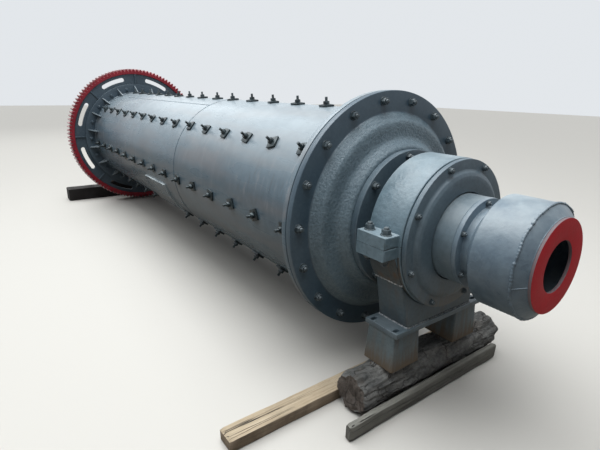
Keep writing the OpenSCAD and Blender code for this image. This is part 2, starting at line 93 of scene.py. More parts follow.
near_rings = [(share, 0.0) for share in END_SHARES]
trunk_rings = [(1.0, LOG_L * step / LOG_STEPS) for step in range(LOG_STEPS + 1)]
far_rings = [(share, LOG_L) for share in reversed(END_SHARES)]
log_rings = []
for share, run in near_rings + trunk_rings + far_rings:
    y = LOG_ENDS[0] + run
    to_end = min(run, LOG_ENDS[1] - y)
    far_half = run > LOG_L / 2
    bearing = SEATS[0] < abs(y) < SEATS[1]
    ring = []
    for k in range(LOG_SIDES):
        a = 2 * math.pi * k / LOG_SIDES
        rounding = ROUNDING + 0.012 * noise.noise(Vector((a * 1.7, far_half * 9.0, 0)))
        r = (log_radius(a, y, bearing) - rounding * math.exp(-to_end / ROUNDING_REACH)) * share
        x, z = LOG_X + r * math.cos(a), LOG_Z + r * math.sin(a)
        torn = TEAR + 0.022 * noise.noise(Vector((x * 12, z * 12, far_half * 5.0)))
        torn += 0.008 * noise.noise(Vector((x * 60, z * 22, 2.0)))
        torn = max(0.0, torn) * math.exp(-to_end / TEAR_REACH)
        if bearing:
            z = min(z, SEAT_Z)
        ring.append((x, y + (-torn if far_half else torn), max(z, 0.0)))
    log_rings.append(ring)


def loft(sections):
    """Skins closed outlines of equal point counts, with both ends closed."""
    count = len(sections[0])
    points = [p for section in sections for p in section]
    faces = []
    for s in range(len(sections) - 1):
        for k in range(count):
            a, b = s * count + k, s * count + (k + 1) % count
            faces.append((a, b, b + count, a + count))
    for s, flip in ((0, True), (len(sections) - 1, False)):
        middle = len(points)
        points.append(tuple(sum(p[i] for p in sections[s]) / count for i in range(3)))
        for k in range(count):
            a, b = s * count + k, s * count + (k + 1) % count
            faces.append((middle, b, a) if flip else (middle, a, b))
    return points, faces


def tone(red, green, blue):
    """A colour picked as screen bytes, turned into the linear colour that a shader wants."""
    linear = [((c / 255 + 0.055) / 1.055) ** 2.4 if c > 10 else c / 3295 for c in (red, green, blue)]
    return (*linear, 1.0)


def fill(tree, sockets, values):
    """Sets each named socket to its value, or links it to the node output given for it."""
    for key, value in values.items():
        if isinstance(value, bpy.types.NodeSocket):
            tree.links.new(value, sockets[key])
        else:
            sockets[key].default_value = value


def add(tree, kind, values=None, **settings):
    """Adds one node with its settings, and fills its sockets."""
    made = tree.nodes.new("ShaderNode" + kind)
    for key, value in settings.items():
        setattr(made, key, value)
    fill(tree, made.inputs, values or {})
    return made


def shader_group(name, inputs, outputs):
    """Starts a shared effect: the group, the sockets that feed it and the sockets that it fills."""
    group = bpy.data.node_groups.new(name, "ShaderNodeTree")
    for label, kind, value in inputs:
        socket = group.interface.new_socket(label, in_out="INPUT", socket_type="NodeSocket" + kind)
        socket.default_value = value
    for label, kind in outputs:
        group.interface.new_socket(label, in_out="OUTPUT", socket_type="NodeSocket" + kind)
    return group, group.nodes.new("NodeGroupInput").outputs, group.nodes.new("NodeGroupOutput").inputs


def place_group(tree, group, values):
    """Adds one of the shared effects to a material, and gives what it puts out."""
    return add(tree, "Group", values, node_tree=group).outputs


def surface(tree):
    """Where a point of the surface lies, and how far its face looks along X, Y and Z."""
    spot = add(tree, "TexCoord").outputs
    return spot["Object"], add(tree, "SeparateXYZ", {"Vector": spot["Normal"]}).outputs


def even_noise(tree, place, scale, detail, roughness=0.5):
    made = add(tree, "TexNoise", {"Vector": place, "Scale": scale, "Detail": detail, "Roughness": roughness})
    return made.outputs["Fac"]


def stretched_noise(tree, place, stretch, scale, detail=4.0, roughness=0.55):
    moved = add(tree, "Mapping", {"Vector": place, "Scale": stretch})
    return even_noise(tree, moved.outputs["Vector"], scale, detail, roughness)


def spread(tree, value, low, high, out_low=0.0, out_high=1.0):
    """Maps a range of a value on to another range, and holds it inside that range."""
    ranges = {"From Min": low, "From Max": high, "To Min": out_low, "To Max": out_high}
    return add(tree, "MapRange", {"Value": value, **ranges}).outputs["Result"]


def maths(tree, operation, first, second=0.0):
    return add(tree, "Math", {0: first, 1: second}, operation=operation).outputs["Value"]


def plus(tree, first, second):
    return maths(tree, "ADD", first, second)


def times(tree, first, second):
    return maths(tree, "MULTIPLY", first, second)


def blend_colour(tree, share, first, second):
    """Goes from the first colour to the second by a share; colours may be fixed or come from a node."""
    mixed = add(tree, "Mix", data_type="RGBA")
    sockets = {socket.name: socket for socket in mixed.inputs if socket.enabled}
    fill(tree, sockets, {"Factor": share, "A": first, "B": second})
    return next(socket for socket in mixed.outputs if socket.enabled)


def bumped(tree, height, distance, strength, under=None):
    """A normal raised by a height in metres, on top of another normal where one is given."""
    values = {"Strength": strength, "Distance": distance, "Height": height}
    if under is not None:
        values["Normal"] = under
    return add(tree, "Bump", values).outputs["Normal"]


def new_material(name, roughness=0.5, metallic=0.0):
    material = bpy.data.materials.new(name)
    material.use_nodes = True
    shader = material.node_tree.nodes["Principled BSDF"]
    shader.inputs["Roughness"].default_value = roughness
    shader.inputs["Metallic"].default_value = metallic
    return material, material.node_tree, shader


# long fibres along the mill's Y, with dark splits, for the sawn ends and every squared timber
wood_grain, wood_in, wood_out = shader_group(
    "wood_grain",
    [
        ("Light", "Color", (0.5, 0.4, 0.3, 1)),
        ("Dark", "Color", (0.2, 0.15, 0.1, 1)),
        ("Split Colour", "Color", (0.02, 0.018, 0.015, 1)),
        ("Split Share", "Float", 0.5),
    ],
    [("Color", "Color"), ("Height", "Float")],
)
tree = wood_grain
spot = add(tree, "TexCoord").outputs["Object"]
fibre = spread(tree, stretched_noise(tree, spot, (1.0, 0.035, 1.0), 95.0, 6.0, 0.65), 0.3, 0.7)
broad = stretched_noise(tree, spot, (1.0, 0.12, 1.0), 9.0, 3.0)
fleck = stretched_noise(tree, spot, (1.0, 0.3, 1.0), 160.0, 2.0)
split = stretched_noise(tree, spot, (1.0, 0.022, 1.0), 26.0, 3.0, 0.5)
off_split = maths(tree, "ABSOLUTE", maths(tree, "SUBTRACT", split, 0.5))
split_on = times(tree, spread(tree, off_split, 0.02, 0.004), spread(tree, broad, 0.44, 0.54))
split_mask = times(tree, split_on, wood_in["Split Share"])
light_share = plus(tree, times(tree, fibre, 0.6), spread(tree, broad, 0.3, 0.75, -0.1, 0.5))
grained = blend_colour(tree, light_share, wood_in["Dark"], wood_in["Light"])
flecked = blend_colour(tree, spread(tree, fleck, 0.55, 0.8, 0.0, 0.35), grained, wood_in["Dark"])
cracked = blend_colour(tree, split_mask, flecked, wood_in["Split Colour"])
grain_height = maths(tree, "SUBTRACT", times(tree, fibre, 0.35), times(tree, split_mask, 1.6))
fill(tree, wood_out, {"Color": cracked, "Height": grain_height})

log_wood, tree, shader = new_material("log_wood", roughness=0.82)
spot, facing = surface(tree)
warp = add(tree, "TexNoise", {"Vector": spot, "Scale": 9.0, "Detail": 4.0}).outputs
shift = add(tree, "VectorMath", {0: warp["Color"], 1: (0.10, 0.10, 0.10)}, operation="MULTIPLY")
warped = add(tree, "VectorMath", {0: spot, 1: shift.outputs["Vector"]}, operation="ADD")
along_trunk = add(tree, "Mapping", {"Vector": warped.outputs["Vector"], "Scale": (1.0, 0.55, 1.0)})
cells = {"Vector": along_trunk.outputs["Vector"], "Scale": 17.0}
plates = add(tree, "TexVoronoi", cells, feature="DISTANCE_TO_EDGE").outputs["Distance"]
crackle = times(tree, spread(tree, plates, 0.05, 0.0), spread(tree, warp["Fac"], 0.44, 0.56))
blotch = stretched_noise(tree, spot, (1.0, 0.7, 1.0), 12.0, 6.0, 0.68)
rough_bark = stretched_noise(tree, spot, (1.0, 0.6, 1.0), 75.0, 5.0, 0.7)
bark = blend_colour(tree, spread(tree, blotch, 0.32, 0.66), tone(64, 65, 65), tone(135, 134, 131))
bark = blend_colour(tree, spread(tree, warp["Fac"], 0.52, 0.7, 0.0, 0.4), bark, tone(99, 87, 76))
bark = blend_colour(tree, spread(tree, rough_bark, 0.45, 0.7, 0.0, 0.45), bark, tone(53, 50, 48))
bark = blend_colour(tree, times(tree, crackle, spread(tree, blotch, 0.3, 0.5)), bark, tone(25, 24, 23))
sawn = place_group(
    tree, wood_grain, {"Light": tone(113, 99, 90), "Dark": tone(62, 55, 50), "Split Share": 0.8}
)
end_share = spread(tree, maths(tree, "ABSOLUTE", facing["Y"]), 0.55, 0.85, 0.0, 0.8)
colour = blend_colour(tree, end_share, bark, sawn["Color"])
bark_height = plus(tree, times(tree, blotch, 1.2), times(tree, rough_bark, 0.6))
bark_height = maths(tree, "SUBTRACT", bark_height, times(tree, crackle, 0.7))
cracked_bark = bumped(tree, bark_height, distance=0.012, strength=1.0)
fill(tree, shader.inputs, {"Base Color": colour, "Normal": cracked_bark})


def place_piece(name, shape, material, body, stands_for=(), sharp=35):
    """Makes one piece from its points and faces, smooth up to a sharp angle, and hangs it on its body."""
    points, faces = shape
    mesh = bpy.data.meshes.new(name)
    mesh.from_pydata([tuple(map(float, p)) for p in points], [], [tuple(map(int, f)) for f in faces])
    mesh.update()
    mesh.shade_smooth()
    mesh.set_sharp_from_angle(angle=math.radians(sharp))
    mesh.materials.append(material)
    made = bpy.data.objects.new(name, mesh)
    bpy.context.scene.collection.objects.link(made)
    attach(made, body)
    if stands_for:
        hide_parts(*stands_for)
    return made


place_piece("sawn_log", loft(log_rings), log_wood, "stand", ["log"], sharp=60)

# Squared timbers chock the log at its foot, front and back. They are sawn softwood left
# outdoors: the front one grey, the back one pale and split, and both just lie there.

# signs of the four corners of a section, in the order of their angles
CORNERS = ((1, 1), (-1, 1), (-1, -1), (1, -1))


def timber_material(name, light, dark, side, split_share, relief):
    """Weathered timber, darker on its sides than on top, partly from soil and partly as painted shade."""
    material, tree, shader = new_material(name, roughness=0.88)
    grain = place_group(tree, wood_grain, {"Light": light, "Dark": dark, "Split Share": split_share})
    spot, facing = surface(tree)
    soil = even_noise(tree, spot, 11.0, 6.0, 0.7)
    # upright faces turn towards the side colour: painted shade from the light above, broken up by soil
    soiled = times(tree, spread(tree, facing["Z"], 0.8, 0.2), spread(tree, soil, 0.25, 0.6, 0.35, 0.9))
    colour = blend_colour(tree, soiled, grain["Color"], side)
    raised_grain = bumped(tree, grain["Height"], distance=relief, strength=0.8)
    fill(tree, shader.inputs, {"Base Color": colour, "Normal": raised_grain})
    return material


def squared_timber(low, high, seed, corner=0.008, rough=0.002):
    """A sawn baulk along Y: rounded corners, a little wane, wavering faces and ragged ends."""
    size = Vector(high) - Vector(low)
    middle = (Vector(high) + Vector(low)) / 2
    sections = []
    count = max(20, int(size.y / 0.02))
    for step in range(count + 1):
        y = low[1] + size.y * step / count
        at_end = step in (0, count)
        section = []
        for side, (sign_x, sign_z) in enumerate(CORNERS):
            centre_x = middle.x + sign_x * (size.x / 2 - corner)
            centre_z = middle.z + sign_z * (size.z / 2 - corner)
            for k in range(6):
                a = (side + k / 5) * math.pi / 2
                dent = rough * (0.8 + noise.noise(Vector((seed + a, y * 7, side * 3.0))))
                dent += rough * max(0.0, noise.noise(Vector((seed + a * 3, y * 30, side))))
                dent += 2.4 * rough * max(0.0, noise.noise(Vector((seed * 2, y * 4, side * 9.0))) - 0.15)
                r = corner - dent - (0.005 if at_end else 0)
                x, z = centre_x + r * math.cos(a), centre_z + r * math.sin(a)
                ragged = 0.018 * abs(noise.noise(Vector((x * 30, z * 30, seed)))) if at_end else 0
                section.append((x, y + (ragged if step == 0 else -ragged), max(z, low[2])))
        sections.append(section)
    return loft(sections)


grey_timber = timber_material(
    "grey_timber",
    tone(159, 157, 149),
    tone(99, 97, 91),
    side=tone(109, 108, 102),
    split_share=1.0,
    relief=0.005,
)
front_timber = squared_timber(*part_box("front_chock"), 3.0, corner=0.013, rough=0.0035)
place_piece("front_timber", front_timber, grey_timber, "stand", ["front_chock"], sharp=50)

pale_timber = timber_material(
    "pale_timber",
    tone(218, 201, 175),
    tone(149, 129, 103),
    side=tone(124, 109, 94),
    split_share=1.0,
    relief=0.005,
)
rear_timber = squared_timber(*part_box("rear_chock"), 11.0, corner=0.006)
place_piece("rear_timber", rear_timber, pale_timber, "stand", ["rear_chock"], sharp=50)

# The far bearing stands on a squared beam with a packing plank on it. Both are black with
# old gear grease and carry the far feet without any fixing.

dark_timber = timber_material(
    "dark_timber",
    tone(53, 47, 44),
    tone(27, 25, 24),
    side=tone(32, 30, 30),
    split_share=0.6,
    relief=0.003,
)
for node_name, name, seed in (
    ("far_beam", "far_squared_beam", 21.0),
    ("far_packer", "far_packing_plank", 33.0),
):
    timber = squared_timber(*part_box(node_name), seed, corner=0.007)
    place_piece(name, timber, dark_timber, "stand", [node_name], sharp=50)

# The feet are boxes of welded plate, two at each end, that spread slightly towards the
# timbers. They carry the machine's grey-blue paint, with brown runs and a rusty hem below.

# patchy paint: broad faded patches, the fine unevenness of its skin and a few dark specks
patchy_paint, paint_in, paint_out = shader_group(
    "patchy_paint",
    [
        ("Paint", "Color", (0.2, 0.2, 0.2, 1)),
        ("Faded", "Color", (0.3, 0.3, 0.3, 1)),
        ("Patch Scale", "Float", 3.0),
        ("Texture Scale", "Float", 90.0),
        ("Roughness", "Float", 0.4),
    ],
    [("Color", "Color"), ("Roughness", "Float"), ("Height", "Float")],
)
tree = patchy_paint
spot = add(tree, "TexCoord").outputs["Object"]
patch = even_noise(tree, spot, paint_in["Patch Scale"], 5.0, 0.6)
skin = even_noise(tree, spot, paint_in["Texture Scale"], 3.0, 0.6)
speck = even_noise(tree, spot, 240.0, 2.0)
from_patch = spread(tree, patch, 0.35, 0.72, 0.0, 0.75)
faded_share = plus(tree, from_patch, spread(tree, skin, 0.35, 0.7, -0.12, 0.22))
painted = blend_colour(tree, faded_share, paint_in["Paint"], paint_in["Faded"])
specked = blend_colour(tree, spread(tree, speck, 0.66, 0.74, 0.0, 0.3), painted, (0.03, 0.03, 0.03, 1))
shine = plus(tree, paint_in["Roughness"], spread(tree, patch, 0.3, 0.7, -0.06, 0.12))
paint_height = plus(tree, skin, times(tree, patch, 0.8))
fill(tree, paint_out, {"Color": specked, "Roughness": shine, "Height": paint_height})

# brown runs that rain leaves on upright faces
rust_runs, runs_in, runs_out = shader_group(
    "rust_runs",
    [
        ("Color", "Color", (0.2, 0.2, 0.2, 1)),
        ("Rust", "Color", (0.12, 0.06, 0.03, 1)),
        ("Amount", "Float", 0.5),
    ],
    [("Color", "Color"), ("Mask", "Float")],
)
tree = rust_runs
spot, facing = surface(tree)
runs = stretched_noise(tree, spot, (1.0, 1.0, 0.07), 34.0, 4.0)
where = stretched_noise(tree, spot, (1.0, 1.0, 0.4), 6.0, 3.0)
upright = spread(tree, maths(tree, "ABSOLUTE", facing["Z"]), 0.85, 0.5)
run_mask = times(tree, spread(tree, runs, 0.45, 0.7), spread(tree, where, 0.42, 0.62))
run_mask = times(tree, times(tree, run_mask, upright), runs_in["Amount"])
rusted = blend_colour(tree, run_mask, runs_in["Color"], runs_in["Rust"])
fill(tree, runs_out, {"Color": rusted, "Mask": run_mask})

# pale dust that settles on faces turned upwards; on the tops it is also a painted highlight of the sky
settled_dust, dust_and_sheen_in, dust_and_sheen_out = shader_group(
    "settled_dust",
    [
        ("Color", "Color", (0.2, 0.2, 0.2, 1)),
        ("Dust", "Color", (0.5, 0.47, 0.42, 1)),
        ("Amount", "Float", 0.3),
        ("Least", "Float", 0.0),
    ],
    [("Color", "Color"), ("Mask", "Float")],
)
tree = settled_dust
spot, facing = surface(tree)
drift = spread(tree, even_noise(tree, spot, 7.0, 6.0), 0.3, 0.7, dust_and_sheen_in["Least"])
dust_and_sheen_mask = times(tree, spread(tree, facing["Z"], 0.25, 0.95), drift)
dust_and_sheen_mask = times(tree, dust_and_sheen_mask, dust_and_sheen_in["Amount"])
dusted_and_sheened = blend_colour(tree, dust_and_sheen_mask, dust_and_sheen_in["Color"], dust_and_sheen_in["Dust"])
fill(tree, dust_and_sheen_out, {"Color": dusted_and_sheened, "Mask": dust_and_sheen_mask})

# soil or rust that fades out upwards from a height
low_soil, soil_in, soil_out = shader_group(
    "low_soil",
    [
        ("Color", "Color", (0.2, 0.2, 0.2, 1)),
        ("Soil", "Color", (0.12, 0.08, 0.05, 1)),
        ("Full Below", "Float", 0.25),
        ("Gone Above", "Float", 0.4),
        ("Amount", "Float", 0.5),
    ],
    [("Color", "Color"), ("Mask", "Float")],
)
tree = low_soil
spot = add(tree, "TexCoord").outputs["Object"]
level = add(tree, "SeparateXYZ", {"Vector": spot}).outputs["Z"]
reach_up = spread(tree, level, soil_in["Gone Above"], soil_in["Full Below"])
cloud = even_noise(tree, spot, 13.0, 6.0, 0.65)
ragged = stretched_noise(tree, spot, (1.0, 1.0, 0.07), 48.0, 4.0, 0.65)
wander = plus(tree, times(tree, cloud, 0.8), times(tree, ragged, 2.2))
soil_mask = spread(tree, plus(tree, times(tree, reach_up, 1.1), wander), 1.75, 2.45)
soil_mask = times(tree, times(tree, soil_mask, reach_up), soil_in["Amount"])
soiled = blend_colour(tree, soil_mask, soil_in["Color"], soil_in["Soil"])
fill(tree, soil_out, {"Color": soiled, "Mask": soil_mask})

# a pale cool dust, which also stands for a painted highlight of the sky on the tops
PALE_DUST_AND_SHEEN = tone(200, 207, 209)
RUST_BROWN = tone(101, 83, 67)


def paint_coat(tree, paint, faded, patch, skin, roughness):
    """Puts the patchy paint into a material, with the scales of its patches and of its skin."""
    colours = {"Paint": paint, "Faded": faded}
    scales = {"Patch Scale": patch, "Texture Scale": skin, "Roughness": roughness}
    return place_group(tree, patchy_paint, {**colours, **scales})


def machine_paint(name, paint, faded, roughness, relief, patch, skin, rust=0.0, dust_and_sheen=0.15, low=None):
    """The mill's paint over plate or casting, with its own fade, texture, water runs, soil and dust; the pale
    dust on the tops is also a painted highlight.
    """
    material, tree, shader = new_material(name)
    coat = paint_coat(tree, paint, faded, patch, skin, roughness)
    stained = place_group(tree, rust_runs, {"Color": coat["Color"], "Rust": RUST_BROWN, "Amount": rust})
    if low:
        soil, full_below, gone_above, amount = low
        heights = {"Full Below": full_below, "Gone Above": gone_above}
        stained = place_group(
            tree, low_soil, {"Color": stained["Color"], "Soil": soil, "Amount": amount, **heights}
        )
    with_dust_and_sheen = place_group(tree, settled_dust, {"Color": stained["Color"], "Dust": PALE_DUST_AND_SHEEN, "Amount": dust_and_sheen})
    dirt = plus(tree, stained["Mask"], with_dust_and_sheen["Mask"])
    looks = {
        "Base Color": with_dust_and_sheen["Color"],
        "Roughness": plus(tree, coat["Roughness"], times(tree, dirt, 0.4)),
        "Normal": bumped(tree, coat["Height"], distance=relief, strength=0.7),
    }
    fill(tree, shader.inputs, looks)
    return material


def join(parts):
    """Several point and face lists as one."""
    points, faces = [], []
    for some_points, some_faces in parts:
        start = len(points)
        points += [tuple(p) for p in some_points]
        faces += [tuple(i + start for i in f) for f in some_faces]
    return points, faces


def spread_box(middle, foot, top, low_z, high_z, corner):
    """A box whose footprint and top differ in size, with rounded upright edges and eased rims."""
    sections = []
    for z, ease in ((low_z, 0.003), (low_z + 0.003, 0.0), (high_z - 0.003, 0.0), (high_z, 0.003)):
        share = (z - low_z) / (high_z - low_z)
        half_x = (foot[0] + (top[0] - foot[0]) * share) / 2
        half_y = (foot[1] + (top[1] - foot[1]) * share) / 2
        section = []
        for side, (sign_x, sign_y) in enumerate(CORNERS):
            centre_x = middle[0] + sign_x * (half_x - corner)
            centre_y = middle[1] + sign_y * (half_y - corner)
            for k in range(5):
                a = (side + k / 4) * math.pi / 2
                r = corner - ease
                section.append((centre_x + r * math.cos(a), centre_y + r * math.sin(a), z))
        sections.append(section)
    return loft(sections)


rusty_paint = machine_paint(
    "rusty_paint",
    tone(84, 98, 104),
    tone(116, 128, 132),
    roughness=0.5,
    relief=0.0012,
    patch=6.0,
    skin=60.0,
    rust=0.7,
    dust_and_sheen=0.2,
    low=(tone(101, 88, 73), 0.245, 0.44, 1.0),
)
FOOT_Y, FOOT_CORNER = 0.265, 0.009
FOOT_BOTTOM, FOOT_TOP = (0.210, 0.220), (0.190, 0.200)
for node_name, name in (("near_feet", "near_foot_boxes"), ("far_feet", "far_foot_boxes")):
    low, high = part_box(node_name)
    middle_x = (low.x + high.x) / 2
    feet = [
        spread_box((middle_x, side * FOOT_Y), FOOT_BOTTOM, FOOT_TOP, low.z, high.z, FOOT_CORNER)
        for side in (-1, 1)
    ]
    place_piece(name, join(feet), rusty_paint, "stand", [node_name])

# Each base plate is flame-cut plate with four bolt slots in its ends. It is welded on the
# feet and painted the same grey-blue, with a few brown runs from its edges.


def cut_plate(outline, holes, thick, edge, turn):
    """A plate cut to an outline, with holes and eased edges, drawn flat and then turned into place."""
    shape = bpy.data.curves.new("plate_shape", "CURVE")
    shape.dimensions = "2D"
    shape.fill_mode = "BOTH"
    for loop in [outline, *holes]:
        line = shape.splines.new("POLY")
        line.points.add(len(loop) - 1)
        for point, (x, y) in zip(line.points, loop):
            point.co = (x, y, 0, 1)
        line.use_cyclic_u = True
    shape.extrude = thick / 2 - edge
    shape.bevel_depth = edge
    shape.bevel_resolution = 2
    shape.offset = -edge
    holder = bpy.data.objects.new("plate_shape", shape)
    bpy.context.scene.collection.objects.link(holder)
    bpy.context.view_layer.update()
    mesh = bpy.data.meshes.new_from_object(holder.evaluated_get(bpy.context.evaluated_depsgraph_get()))
    points = [turn @ v.co for v in mesh.vertices]
    faces = [tuple(p.vertices) for p in mesh.polygons]
    bpy.data.objects.remove(holder)
    bpy.data.curves.remove(shape)
    bpy.data.meshes.remove(mesh)
    return points, faces


def arc(radius, start, end, steps, middle=(0.0, 0.0)):
    """Points on an arc, in degrees counted from the first axis."""
    angles = [math.radians(start + (end - start) * k / steps) for k in range(steps + 1)]
    return [(middle[0] + radius * math.cos(a), middle[1] + radius * math.sin(a)) for a in angles]


SLOT_X, SLOT_Y, SLOT_R, SLOT_STRAIGHT = 0.080, 0.339, 0.011, 0.022
PLATE_EDGE = 0.004
plate_paint = machine_paint(
    "plate_paint",
    tone(83, 98, 107),
    tone(115, 129, 137),
    roughness=0.36,
    relief=0.0008,
    patch=5.0,
    skin=70.0,
    rust=0.25,
    dust_and_sheen=0.2,
)
for node_name, name in (("near_base_plate", "near_slotted_base"), ("far_base_plate", "far_slotted_base")):
    low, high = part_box(node_name)
    half_x, half_y = (high.x - low.x) / 2, (high.y - low.y) / 2
    outline = [(-half_x, -half_y), (half_x, -half_y), (half_x, half_y), (-half_x, half_y)]
    slots = []
    for x in (-SLOT_X, SLOT_X):
        for y in (-SLOT_Y, SLOT_Y):
            outer_end = arc(SLOT_R, 0, 180, 8, (x, y + SLOT_STRAIGHT / 2))
            slots.append(outer_end + arc(SLOT_R, 180, 360, 8, (x, y - SLOT_STRAIGHT / 2)))
    lift = Matrix.Translation(((low.x + high.x) / 2, 0, (low.z + high.z) / 2))
    plate = cut_plate(outline, slots, high.z - low.z, PLATE_EDGE, lift)
    place_piece(name, plate, plate_paint, "stand", [node_name], sharp=30)

# The pedestal and the split housing are iron castings. The lower half, with its shoulders,
# is welded along a rough seam to the tapered pedestal; the cap is bolted down at the lugs.

AXIS_Z = frame["joints"][0]["pos_m"][2]
# each bearing: its end of the mill, its middle along the mill, and the way that it faces outwards
BEARINGS = (("near", 0.0, 1), ("far", -5.834, -1))
HOUSING_R, RING_BORE, HOUSING_W = 0.403, 0.3405, 0.220
HOUSING_EDGE = 0.005
SPLIT_GAP, SPLIT_ANGLE = 0.001, 0.2
LUG_Y, LUG_ROOT, LUG_FOOT = 0.500, 0.360, 0.355
LUG_T, LUG_W, LUG_EDGE = 0.060, 0.190, 0.006
SHOULDER_Y, SHOULDER_FOOT, SHOULDER_ROOT = 0.422, 0.348, 0.325
SHOULDER_Z, SHOULDER_W, SHOULDER_EDGE = -0.222, 0.182, 0.007
PEDESTAL_TOP, PEDESTAL_FOOT = 0.344, 0.277
PEDESTAL_TOP_W, PEDESTAL_FOOT_W = 0.174, 0.204
SEAM_END = 0.338


def across_mill(x):
    """Turns a flat drawing of (Y, Z) so that its thickness runs along the mill at x."""
    return Matrix(((0, 0, 1, x), (1, 0, 0, 0), (0, 1, 0, AXIS_Z), (0, 0, 0, 1)))


def on_both_sides(shape, width, edge, turn):
    """The same plate to the left and to the right of the mill."""
    mirrored = [(-y, z) for y, z in reversed(shape)]
    return [cut_plate(shape, [], width, edge, turn), cut_plate(mirrored, [], width, edge, turn)]


def weld_bead(path, radius, seed, closed=False, rough=0.25):
    """A hand-laid bead: a round ripple that swells and wanders along its path."""
    sides = 8
    turns = [2 * math.pi * s / sides for s in range(sides)]
    sections = []
    count = len(path)
    for k, spot in enumerate(path):
        before = Vector(path[(k - 1) % count if closed else max(k - 1, 0)])
        after = Vector(path[(k + 1) % count if closed else min(k + 1, count - 1)])
        along = (after - before).normalized()
        side = along.cross(Vector((0.31, 0.52, 0.79))).normalized()
        up = side.cross(along)
        swell = radius * (1 + 0.18 * math.sin(k * 2.1) + rough * noise.noise(Vector((k * 0.35, seed, 0))))
        middle = Vector(spot)
        sections.append([tuple(middle + (side * math.cos(a) + up * math.sin(a)) * swell) for a in turns])
    if not closed:
        return loft(sections)
    points = [p for section in sections for p in section]
    faces = []
    for s in range(count):
        here, there = s * sides, ((s + 1) % count) * sides
        for k in range(sides):
            m = (k + 1) % sides
            faces.append((here + k, here + m, there + m, there + k))
    return points, faces


def straight(first, last, pitch=0.006):
    first, last = Vector(first), Vector(last)
    count = max(2, int((last - first).length / pitch))
    return [tuple(first.lerp(last, k / count)) for k in range(count + 1)]


cast_paint = machine_paint(
    "cast_paint",
    tone(94, 114, 125),
    tone(126, 147, 159),
    roughness=0.3,
    relief=0.006,
    patch=4.0,
    skin=34.0,
    rust=0.1,
    dust_and_sheen=0.4,
)
stained_paint = machine_paint(
    "stained_paint",
    tone(72, 88, 97),
    tone(95, 111, 121),
    roughness=0.4,
    relief=0.0016,
    patch=5.0,
    skin=48.0,
    rust=0.3,
    dust_and_sheen=0.1,
    low=(tone(92, 88, 79), 0.48, 0.60, 0.3),
)
shoulder_paint = machine_paint(
    "shoulder_paint",
    tone(67, 75, 78),
    tone(90, 96, 99),
    roughness=0.45,
    relief=0.003,
    patch=6.0,
    skin=40.0,
    rust=1.0,
    dust_and_sheen=0.1,
)
weld_paint, tree, shader = new_material("weld_paint", roughness=0.55)
coat = paint_coat(tree, tone(71, 85, 94), tone(240, 240, 240), patch=85.0, skin=60.0, roughness=0.5)
fill(tree, shader.inputs, {"Base Color": coat["Color"], "Roughness": coat["Roughness"]})

